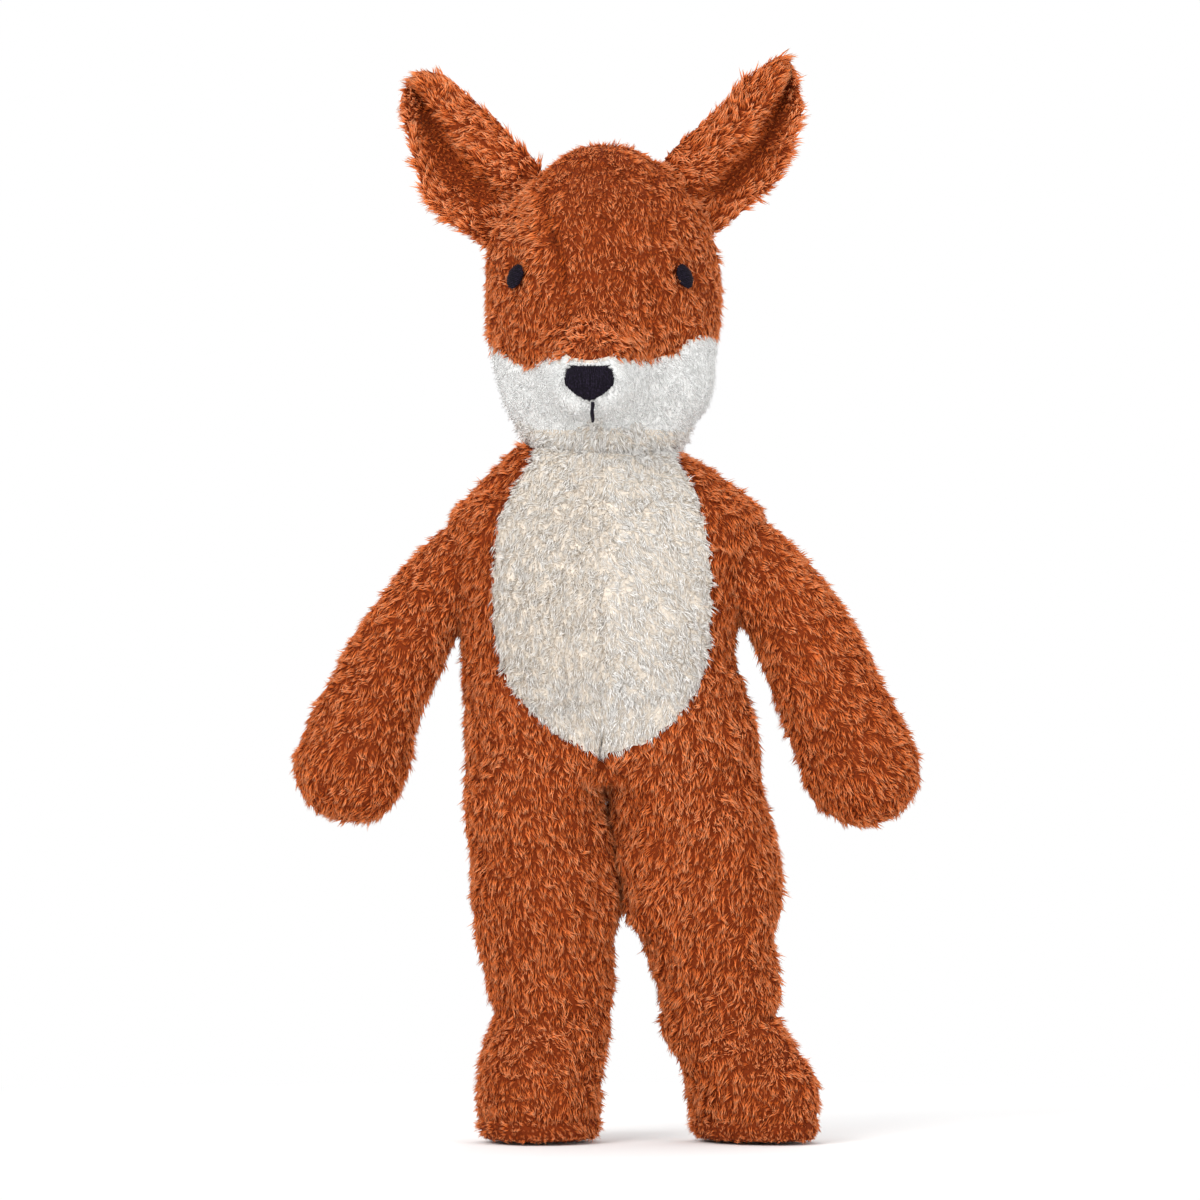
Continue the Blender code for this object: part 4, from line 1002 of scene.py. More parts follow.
        brushed = np.stack([0.9 * (x - self.nose_place[0]) / self.half_width, 0.5 + 0 * x, -0.6 + 0 * x], 1)
        way = np.where((pale > 0)[:, None], brushed, way)
        ridge = bump((x - left + 6 * MM, 5 * MM), (z - 297 * MM, 12 * MM)) * (y < 0)
        way += 3.0 * ridge[:, None] * np.array((-1.0, 0.3, -0.1))
        upright = np.clip(self.stitched(p) / (2 * MM), 0.45, 1)
        cloth.comb(way, np.where(pale > 0, 0.9, 1.0) * upright)
        tuft = bump((x + 2 * MM, 17 * MM), (z - 258 * MM, 8 * MM)) * (y < -25 * MM)
        cloth.store("fur", np.where(pale > 0, 1.0, 0.85 + 0.45 * tuft + 0.35 * ridge))
        # Painted shade and light: the forehead crease and the seams darker, the sides of the face, the muzzle's
        # tuft and the ridge lighter, and a little darker above 285 mm
        crease = groove(x - left, 1, 1.8 * MM) * bump((z - 289 * MM, 12 * MM))
        face = ramp(14 * MM, 30 * MM, np.abs(x)) * ramp(10 * MM, -20 * MM, y)
        shade = 0.3 * face + 0.25 * tuft + 0.25 * ridge - 0.1 * ramp(285 * MM, 300 * MM, z) - 1.1 * crease
        # Painted light: the cream throat lighter, against the shadow under the chin
        shade += np.where((pale > 0) & (z < self.throat_edge + 2 * MM), 0.8, 0)
        cloth.store("shade", shade - 0.15 * groove(x - left, 1, 2 * MM) - 0.15 * groove(x - right, 1, 2 * MM))
        clear = self.stitched(p) + 1.2 * MM
        seam = self.nose_place[0]
        throat = np.minimum(pale, throat_edge - z)
        cheek = np.minimum(np.minimum(pale, z - throat_edge), clear)
        rust = np.minimum(-pale, clear)
        bottom = z - self.lowest
        panels = {
            "head_gusset": (RUST_PILE, np.minimum(rust, np.minimum(x - left, right - x)), "rust_pile"),
            "head_side_left": (RUST_PILE, np.minimum(rust, left - x), "rust_pile"),
            "head_side_right": (RUST_PILE, np.minimum(rust, x - right), "rust_pile"),
            "cheek_left": (WHITE_PILE, np.minimum(cheek, seam - x), "white_pile"),
            "cheek_right": (WHITE_PILE, np.minimum(cheek, x - seam), "white_pile"),
            "throat": (CREAM_PILE, throat, "cream_pile"),
        }
        for name, (pile, mask, slot) in panels.items():
            grower.grow(cloth, name + "_pile", pile, np.minimum(mask, bottom), slot, name)
        cloth.finish(np.where(pale > 0, np.where(z > self.throat_edge, 2.0, 1.0), -1.0), "head_stuffing")
        self.embroider()

    def embroider(self) -> None:
        """Sew the eyes, the nose and the mouth as raised satin stitches."""
        recipe = stitch_recipe()
        for side, x in zip(Side, self.eye_places):
            lean = -side.sign * self.eye_lean

            def eye(a: Points, b: Points, x: float = x, lean: float = lean) -> tuple[Points, Points]:
                """Places across and heights of an eye."""
                wide, tall = a * self.eye_size[0] / 2, b * self.eye_size[1] / 2
                across = x + wide * math.cos(lean) + tall * math.sin(lean)
                return across, self.eye_height + tall * math.cos(lean) - wide * math.sin(lean)

            self.sew(recipe, "eye_" + side.value, eye, self.eye_size, upright=False)

        def nose(a: Points, b: Points) -> tuple[Points, Points]:
            """Places across and heights of the nose, with a squared top and a narrow foot."""
            full = 1 - 0.45 * np.clip(-b, 0, 1) ** 1.5
            square = np.clip(1 - b**4, 0.03, 1) ** 0.25 / np.sqrt(np.clip(1 - b**2, 0.03, 1))
            wide = self.nose_size[0] / 2 * np.where(b > 0, square, full) * a
            tall = self.nose_size[1] / 2 * b * np.where(b > 0, 0.86 + 0.1 * np.abs(a), 1.0)
            return self.nose_place[0] + wide, self.nose_place[1] + tall

        self.sew(recipe, "nose", nose, self.nose_size, upright=True)
        lines = []
        for strand in (-0.3, 0.0, 0.3):
            share = np.linspace(0, 1, 15)
            x = self.mouth_place[0] + strand * MM * (1 - 0.3 * share) + 0.15 * MM * np.sin(9 * share + strand)
            z = self.mouth_place[1] - self.mouth_length * share
            pulled = 0.35 * MM * np.abs(np.sin(2.5 * math.pi * share))
            lines.append(self.on_face(x, z, -0.6 * MM + pulled + (0.35 * MM if strand == 0 else 0.0)))
        self.threads(recipe, "mouth", lines, 0.36 * MM, None)

    def sew(
        self,
        recipe: NodeRecipe,
        name: str,
        outline: Callable[[Points, Points], tuple[Points, Points]],
        size: tuple[float, float],
        upright: bool,
    ) -> None:
        """Fill one outline with satin stitches over a pad.

        Args:
            recipe: The recipe that makes threads of lines.
            name: The frame's node that the stitches stand for.
            outline: Turns places in a unit disc into places across and heights.
            size: The outline's width and height.
            upright: Whether the stitches run up and down.
        """
        across = size[0] if upright else size[1]
        count = int(across / (1.7 * self.thread_radius))
        lines = []
        for k in range(count):
            place = -1 + 2 * (k + 0.5) / count
            reach = math.sqrt(1 - place * place) * (1.02 + 0.05 * math.sin(5.1 * k))
            run = np.linspace(-reach, reach, 17)
            fixed = np.full_like(run, place)
            a, b = (fixed, run) if upright else (run, fixed)
            rise = np.sqrt(np.clip(1.06 - a * a - b * b, 0, 1)) * (1.5 + 0.14 * math.sin(2.4 * k)) * MM
            lines.append(self.on_face(*outline(a, b), rise - 1.5 * MM))
        turns = np.linspace(0, 2 * math.pi, 36, endpoint=False)
        rings = []
        for share, lift in ((0.6, -2.6), (0.97, -2.6), (0.95, -1.2), (0.7, -0.55), (0.35, -0.25)):
            a, b = share * np.cos(turns), share * np.sin(turns)
            rings.append(self.on_face(*outline(a, b), lift * MM))
        self.threads(recipe, name, lines, self.thread_radius, np.array(rings))

    def threads(
        self, recipe: NodeRecipe, name: str, lines: list[Points], radius: float, pad: Points | None
    ) -> None:
        """Make one embroidered piece of thread lines and the pad under them."""
        places, edges, taper = [], [], []
        for line in lines:
            first = len(places)
            places.extend(line.tolist())
            edges.extend((first + i, first + i + 1) for i in range(len(line) - 1))
            share = np.linspace(-1, 1, len(line))
            taper.extend(np.sqrt(np.clip(1.04 - share**6, 0.04, 1)).tolist())
        mesh = bpy.data.meshes.new(name + "_stitches")
        mesh.from_pydata(places, edges, [])
        mesh.attributes.new("taper", "FLOAT", "POINT").data.foreach_set("value", taper)
        piece = bpy.data.objects.new(name + "_stitches", mesh)
        bpy.context.scene.collection.objects.link(piece)
        recipe.apply(piece, radius=radius, material=EmbroideryThread().material())
        if pad is not None:
            under = shell(name + "_pad", pad)
            under.data.materials.append(EmbroideryThread().material())
            work = bmesh.new()
            work.from_mesh(piece.data)
            work.from_mesh(under.data)
            work.to_mesh(piece.data)
            work.free()
            bpy.data.objects.remove(under, do_unlink=True)
        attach(piece, "head")
        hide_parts(name)
        LOG.info("%s", piece.name)


@dataclass
class Ear:
    """One ear: two layers sewn together and folded forwards along a crease, on a tilted line."""

    side: Side
    spread: float = 30.5 * MM
    behind: float = 4 * MM
    height: float = 303 * MM
    tilt: float = math.radians(57)
    half_thickness: float = 1.5 * MM
    upper_flap: float = 10.5 * MM
    lower_flap: float = 10 * MM
    edge_room: float = 1.4 * MM
    # How far over its middle the crease lies, from the ear's root to its tip
    crease: tuple[tuple[float, float], ...] = ((0.05, 0.0), (0.25, 0.02))
    # Millimetres out along the ear, then its middle and half width across, for each side
    outlines: tuple[tuple[tuple[float, float, float], ...], ...] = (
        (
            (-8.0, 1.5, 14.0),
            (0.0, 0.5, 17.0),
            (9.0, -0.4, 17.7),
            (16.0, -1.4, 19.0),
            (23.4, -3.1, 18.2),
            (28.8, -5.9, 16.3),
            (33.7, -8.3, 14.7),
            (38.0, -10.6, 12.6),
            (43.5, -12.7, 10.0),
            (47.0, -14.0, 6.0),
            (48.6, -14.8, 2.6),
        ),
        (
            (-8.0, -2.5, 13.5),
            (3.0, -4.0, 16.3),
            (14.0, -5.5, 16.4),
            (24.0, -7.0, 16.3),
            (31.6, -10.5, 15.5),
            (37.0, -13.0, 13.3),
            (42.0, -15.2, 11.4),
            (45.4, -18.0, 8.7),
            (47.6, -21.0, 5.0),
            (49.0, -23.0, 2.4),
        ),
    )
    rows: int = 52
    sides: int = 96

    def axes(self) -> tuple[Points, Points, Points, Points]:
        """The root's middle, then the ways down the sewn line, forwards and out along the ear."""
        sign = self.side.sign
        origin = np.array((sign * self.spread, self.behind, self.height))
        first = np.array((sign * math.cos(self.tilt), 0.0, -math.sin(self.tilt)))
        third = np.array((sign * math.sin(self.tilt), 0.0, math.cos(self.tilt)))
        return origin, first, np.array((0.0, -1.0, 0.0)), third

    def build(self, grower: PileGrower) -> None:
        """Make the ear's cloth and the pile of its two layers."""
        origin, first, second, third = self.axes()
        outline = self.outlines[self.side.pick]
        crease_root, crease_tip = self.crease[self.side.pick]
        rows, front, folds = [], [], []
        turns = 2 * math.pi * np.arange(self.sides) / self.sides
        across = np.sign(np.sin(turns)) * np.abs(np.sin(turns)) ** 0.8
        depth = np.cos(turns)
        heights = np.linspace(outline[0][0], outline[-1][0], self.rows)
        for height, (middle, half) in zip(heights, through(outline, heights) * MM):
            share = max(height, 0.0) / outline[-1][0]
            half = max(half - self.edge_room, 0.9 * MM)
            fold = across - (crease_root + (crease_tip - crease_root) * share)
            full = min(1.0, 0.45 + share / 0.35) * min(1.0, half / (11 * MM))
            upper = self.upper_flap * (1 - bump((fold, 0.16))) * (1 - 0.3 * fold**2)
            lower = self.lower_flap * np.abs(fold) ** 1.4
            bend = full * (np.where(fold < 0, upper, lower) - 4 * MM)
            thick = self.half_thickness * (1 + 0.4 * np.abs(across)) * min(1.0, half / (6 * MM))
            x = middle + half * across
            y = bend + thick * depth
            rows.append(origin + x[:, None] * first + y[:, None] * second + height * MM * third)
            front.append(depth)
            folds.append(fold)
        name = self.side.value
        cloth = Cloth(shell("ear_cloth_" + name, np.array(rows)), "ear_" + name)
        p = cloth.places()
        forward = np.concatenate([np.array(front).ravel(), [0.0, 0.0]])
        fold = np.concatenate([np.array(folds).ravel(), [0.0, 0.0]])
        out = (p - origin) @ third
        sweep = np.where(fold < 0, 0.35, 0.5)[:, None] * first + 0.6 * ripple(p, 9 * MM, 8)[:, None] * first
        cloth.comb(np.tile(third, (len(p), 1)) * 0.9 + sweep, 0.9)
        inside = ramp(-2 * MM, 8 * MM, out) * (1 - ramp(36 * MM, 46 * MM, out)) * (forward > 0)
        hollow = bump((fold - 0.1, 0.28)) * inside
        cloth.store("fur", 1.05 - 0.5 * hollow + 0.2 * ramp(0.7, 1.0, np.abs(fold)))
        # Painted light on the upper flap and painted shade in the ear's hollow
        light = 0.2 * bump((fold + 0.35, 0.25)) * inside
        cloth.store("shade", 0.1 + light - 1.3 * hollow)
        for layer, facing in (("front", forward), ("back", -forward)):
            panel = f"ear_{layer}_pile_{name}"
            grower.grow(cloth, panel, EAR_PILE, facing * MM, "rust_pile", f"ear_{layer}_{name}")
        cloth.finish(np.full(len(p), -1.0))


@dataclass
class Neck:
    """The short neck: a barrel of pile, cream in front where it meets throat and belly."""

    height: float = 218.5 * MM
    half_height: float = 8 * MM
    half_width: float = 24.2 * MM
    half_depth: float = 23 * MM
    cream_half_width: float = 22.5 * MM
    sides: int = 72

    def build(self, grower: PileGrower) -> None:
        """Make the neck's cloth and pile."""
        turns = 2 * math.pi * np.arange(self.sides) / self.sides
        rows = []
        for lift in np.linspace(-1, 1, 15):
            swell = math.sqrt(1.12 - lift * lift) * 0.96
            z = np.full(self.sides, self.height + self.half_height * lift)
            rows.append(
                np.stack([self.half_width * swell * np.sin(turns), -self.half_depth * swell * np.cos(turns), z], 1)
            )
        ends = ((0.0, 0.0, self.height - 0.8 * self.half_height), (0.0, 0.0, self.height + self.half_height))
        cloth = Cloth(shell("neck_cloth", np.array(rows)), "torso", "neck", ends)
        p = cloth.places()
        x, y, z = p.T
        front = np.where(y < 0, self.cream_half_width - np.abs(x), -5 * MM)
        sides = (self.half_height - 1 * MM) - np.abs(z - self.height)
        cloth.comb(np.stack([0 * x, 0 * x, -1 + 0 * x], 1))
        cloth.store("fur", np.full(len(p), 1.0))
        # Painted light: the cream front lighter, against the shadow under the head
        cloth.store("shade", np.where(front > 0, 0.8, 0.0))
        grower.grow(cloth, "neck_front_pile", CREAM_PILE, np.minimum(front, sides), "cream_pile", "neck_collar")
        grower.grow(cloth, "neck_back_pile", RUST_PILE, np.minimum(-front, sides), "rust_pile")
        cloth.finish(np.sign(front), "neck_wadding")


@dataclass
class TorsoForm:
    """Sections of the torso and the belly patch on it, shared with the tops of the legs."""

    bottom: float = 112 * MM
    top: float = 215 * MM
    half_width: float = 49 * MM
    front_depth: float = 36 * MM
    back_depth: float = 31 * MM
    centre_x: float = -1 * MM
    side_seam: float = 2 * MM
    fold_height: float = 149 * MM
    # Shares of the height, of the half width left and right, and of the front and back depth;
    # over the last 12 mm the cloth slopes in from the shoulders to the neck
    shares: tuple[tuple[float, ...], ...] = (
        (0.0, 0.93, 1.12, 0.76, 0.86),
        (0.12, 0.925, 1.105, 0.79, 0.94),
        (0.24, 0.941, 1.03, 0.84, 0.99),
        (0.35, 0.937, 0.965, 0.91, 1.0),
        (0.46, 0.96, 0.935, 0.98, 0.98),
        (0.58, 1.03, 0.97, 1.0, 0.97),
        (0.70, 1.07, 1.02, 0.99, 0.96),
        (0.80, 1.07, 1.10, 0.95, 0.93),
        (0.88, 1.03, 1.09, 0.89, 0.90),
        (0.94, 0.91, 0.95, 0.84, 0.86),
        (1.0, 0.78, 0.79, 0.77, 0.80),
        (1.045, 0.68, 0.65, 0.70, 0.72),
        (1.075, 0.58, 0.55, 0.62, 0.64),
    )
    belly_top: float = 220 * MM
    belly_bottom: float = 124.6 * MM
    belly_half_width: float = 35.5 * MM
    # Shares of the patch's height from its bottom, then of its half width to the left and right
    belly_shares: tuple[tuple[float, ...], ...] = (
        (0.0, 0.0, 0.0),
        (0.04, 0.26, 0.38),
        (0.10, 0.50, 0.60),
        (0.18, 0.72, 0.80),
        (0.28, 0.90, 0.93),
        (0.40, 0.985, 1.0),
        (0.55, 1.0, 1.0),
        (0.70, 0.985, 0.96),
        (0.83, 0.90, 0.89),
        (0.93, 0.77, 0.79),
        (1.0, 0.62, 0.68),
    )

    def section(self, heights: Points) -> Points:
        """Half width to the left and right, front depth and back depth at each height."""
        share = (heights - self.bottom) / (self.top - self.bottom)
        wide = self.half_width
        return through(self.shares, share) * (wide, wide, self.front_depth, self.back_depth)

    def belly(self, points: Points) -> Points:
        """Distance inside the belly patch, above zero there."""
        share = (points[:, 2] - self.belly_bottom) / (self.belly_top - self.belly_bottom)
        left, right = (through(self.belly_shares, share) * self.belly_half_width).T
        across = points[:, 0] - self.centre_x
        inside = np.minimum(across + left, right - across)
        inside = np.where(share < 0, -2 * MM, inside)
        return np.where(points[:, 1] < self.side_seam, inside, -5 * MM)


@dataclass
class Torso:
    """The torso from the hip folds to the neck, with the cream belly patch in two halves."""

    form: TorsoForm = field(default_factory=TorsoForm)
    pile_room: float = 2.4 * MM
    rows: int = 84
    sides: int = 120

    def build(self, grower: PileGrower) -> None:
        """Make the torso's cloth and pile."""
        form = self.form
        heights = np.linspace(form.bottom + 4 * MM, form.top + 7.7 * MM, self.rows)
        turns = 2 * math.pi * np.arange(self.sides) / self.sides
        rows = []
        for z, (left, right, front, back) in zip(heights, form.section(heights)):
            wide = np.where(np.sin(turns) > 0, right, left)
            deep = np.where(np.cos(turns) > 0, front, back) - self.pile_room
            low = 1 - 0.16 * ramp(0, 22 * MM, form.fold_height - 4 * MM - z)
            x = form.centre_x + (wide - self.pile_room) * low * np.sin(turns)
            rows.append(np.stack([x, -deep * low * np.cos(turns), np.full(self.sides, z)], 1))
        for shrink, rise in ((0.85, 1.0 * MM), (0.5, 1.4 * MM)):
            over = rows[self.rows - 1].copy()
            over[:, :2] = over[:, :2] * shrink
            over[:, 2] += rise
            rows.append(over)
        cloth = Cloth(shell("torso_cloth", np.array(rows)), "torso")
        p = cloth.places()
        x, y, z = p.T
        belly = form.belly(p)
        across = x - form.centre_x
        dents = groove(belly, 0.8 * MM, 1.6 * MM) * (y < 0)
        dents += groove(across, 0.6 * MM, 1.5 * MM) * np.where(y < 0, 1, 0.8)
        dents += groove(y - form.side_seam, 0.6 * MM, 1.6 * MM)
        lumps = lumps_of(p, (0.8 * MM, 26 * MM, 11), (0.35 * MM, 10 * MM, 12), (0.2 * MM, 4 * MM, 13))
        cloth.press(dents - lumps * np.where(belly > 0, 0.5, 1.0))
        spread = np.where(belly > 0, 0.35, 0.15) * np.sign(across)
        cloth.comb(np.stack([spread, 0 * x, -1 + 0 * x], 1), np.where(belly > 0, 0.8, 1.0))
        cloth.store("fur", np.where(belly > 0, 1.05, 1.0))
        # Painted shade along the belly's seam; the belly's left half is darker and its right half lighter
        dim = -0.15 * groove(belly, 1, 1.5 * MM) + np.where((belly > 0) & (across < 0), -0.2, 0.0)
        # Painted light: the top of the belly lighter, against the shadow under the head
        collar = ramp(205 * MM, 220 * MM, z)
        dim += np.where((belly > 0) & (across > 0), 0.35, 0.0) + np.where(belly > 0, 0.4, 0) * collar
        cloth.store("shade", dim)
        over = z - form.fold_height
        for side in Side:
            name = side.value
            half = side.sign * across
            front = np.minimum(np.minimum(-belly, form.side_seam - y), np.minimum(half, over))
            back = np.minimum(np.minimum(y - form.side_seam, half), over)
            patch = np.minimum(np.minimum(belly, half), over)
            grower.grow(cloth, f"belly_pile_{name}", CREAM_PILE, patch, "cream_pile", f"belly_{name}")
            grower.grow(cloth, f"front_pile_{name}", RUST_PILE, front, "rust_pile", f"front_{name}")
            grower.grow(cloth, f"back_pile_{name}", RUST_PILE, back, "rust_pile", f"back_{name}")
        crotch = np.minimum(12 * MM - np.abs(across), 122 * MM - z)
        grower.grow(cloth, "crotch_pile", RUST_PILE, crotch, "rust_pile")
        cloth.store("fur", np.full(len(p), 0.6))
        under = np.minimum(form.side_seam - y, np.minimum(-over, -crotch))
        grower.grow(cloth, "hip_pile", RUST_PILE.sparse(), np.minimum(under, -belly), "rust_pile")
        cloth.store("fur", np.full(len(p), 0.9))
        grower.grow(cloth, "lap_pile", CREAM_PILE, np.minimum(under, belly), "cream_pile")
        cloth.finish(np.sign(belly), "torso_stuffing")


def tube(centres: Points, radii: Points, sides: int, caps: int) -> tuple[Points, Points]:
    """Rows of points round a bent path, with round ends.

    Args:
        centres: The path.
        radii: The tube's radius at each point of the path.
        sides: How many points go round.
        caps: How many rows close each end.

    Returns:
        The rows, and how far along the path each row lies.
    """
    along = unit(np.gradient(centres, axis=0))
    reach = np.concatenate([[0.0], np.cumsum(np.linalg.norm(np.diff(centres, axis=0), axis=1))])
    turns = 2 * math.pi * np.arange(sides) / sides
    rows, runs = [], []
    last = len(centres) - 1
    for i, (centre, radius, way) in enumerate(zip(centres, radii, along)):
        side = unit(np.array((0.0, 1.0, 0.0)) - way * way[1])
        other = np.cross(way, side)
        lifts = [0.0]
        if i == 0:
            lifts = list(-math.pi / 2 * (1 - np.arange(1, caps + 1) / caps))
        if i == last:
            lifts = list(math.pi / 2 * np.arange(caps) / caps)
        for lift in lifts:
            wide = radius * math.cos(lift)
            middle = centre + way * radius * math.sin(lift)
            ring = np.cos(turns)[:, None] * side + np.sin(turns)[:, None] * other
            rows.append(middle + ring * wide)
            runs.append(reach[i] + radius * math.sin(lift))
    return np.array(rows), np.array(runs)


@dataclass
class Arm:
    """One arm: a ball in the armhole, a bent tube and a round hand."""

    side: Side
    shoulder: tuple[float, float, float] = (46 * MM, 0.0, 185 * MM)
    reach: tuple[float, float, float] = (36.4 * MM, -4 * MM, -64.5 * MM)
    radius: float = 15.5 * MM
    hand_radius: float = 19 * MM
    pile_room: float = 2.4 * MM
    sides: int = 64
    caps: int = 14
    plug_radius: float = 11.6 * MM
    plug_ends: tuple[float, float] = (21.4 * MM, 31 * MM)
    # How much fuller the left and the right arm are at the shoulder and at the hand
    fuller: tuple[tuple[float, float], ...] = ((-0.2 * MM, 0.6 * MM), (1.7 * MM, 1.7 * MM))
    # Shares of the run, then of the reach outwards, forwards and down, and of the swell to the hand
    shares: tuple[tuple[float, ...], ...] = (
        (0.0, 0.0, 0.0, 0.0, 0.0),
        (0.2, 0.33, 0.0, 0.195, -0.05),
        (0.4, 0.55, 0.25, 0.405, 0.3),
        (0.6, 0.72, 0.5, 0.615, 0.45),
        (0.8, 0.87, 0.75, 0.81, 0.85),
        (1.0, 1.0, 1.0, 1.0, 1.0),
    )

    def build(self, grower: PileGrower) -> None:
        """Make the arm's cloth and pile, and the plug of filling in the armhole."""
        name, sign = self.side.value, self.side.sign
        share = np.linspace(0, 1, 46)
        run = through(self.shares, share)
        mirror = np.array((sign, 1, 1))
        centres = (np.array(self.shoulder) + run[:, :3] * self.reach) * mirror
        radii = self.radius + (self.hand_radius - self.radius) * run[:, 3] - self.pile_room
        top, low = self.fuller[self.side.pick]
        radii += top + (low - top) * ramp(0.1, 0.6, share)
        rows, runs = tube(centres, radii, self.sides, self.caps)
        cloth = Cloth(shell("arm_cloth_" + name, rows), "arm_" + name)
        p = cloth.places()
        x, y, z = p.T
        along = np.concatenate([np.repeat(runs, self.sides), runs[:1], runs[-1:]])
        lumps = lumps_of(
            p, (0.7 * MM, 22 * MM, 21 + sign), (0.35 * MM, 9 * MM, 22 + sign), (0.2 * MM, 4 * MM, 25)
        )
        cloth.press(groove(y, 0.6 * MM, 1.5 * MM) * (along > 0) - lumps * ramp(-5 * MM, 20 * MM, along))
        way = centres[-1] - centres[0]
        cloth.comb(np.tile(unit(way), (len(p), 1)))
        cloth.store("fur", 0.75 + 0.25 * ramp(-8 * MM, 4 * MM, along))
        hand = ramp(70 * MM, 95 * MM, along)
        cloth.store("shade", 0.05 * ripple(p, 30 * MM, 5) - 0.04 * hand)
        keep = along + 20 * MM
        for half, facing in (("arm_front", -y), ("arm_back", y)):
            mask = np.minimum(facing, keep)
            grower.grow(cloth, f"{half}_pile_{name}", RUST_PILE, mask, "rust_pile", f"{half}_{name}")
        cloth.finish(np.full(len(p), -1.0), f"arm_stuffing_{name}")
        self.plug()

    def plug(self) -> None:
        """A soft round plug of filling between the torso and the arm."""
        name, sign = self.side.value, self.side.sign
        low, high = self.plug_ends
        runs = np.linspace(0, 1, 12)
        centres = np.stack([sign * (low + (high - low) * runs), 0 * runs, self.shoulder[2] + 0 * runs], 1)
        radii = self.plug_radius * (0.8 + 0.2 * np.sin(math.pi * runs))
        turns = 2 * math.pi * np.arange(28) / 28
        ring = np.stack([0 * turns, np.cos(turns), np.sin(turns)], 1)
        rows = np.array([centre + ring * radius for centre, radius in zip(centres, radii)])
        plug = Cloth(shell("shoulder_plug_" + name, rows), "shoulder_" + name)
        plug.press(-0.3 * MM * ripple(plug.places(), 5 * MM, 31))
        plug.thing.data.materials.append(FibreFill().material())
        plug.settle(plug.thing)
        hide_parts("shoulder_wadding_" + name)


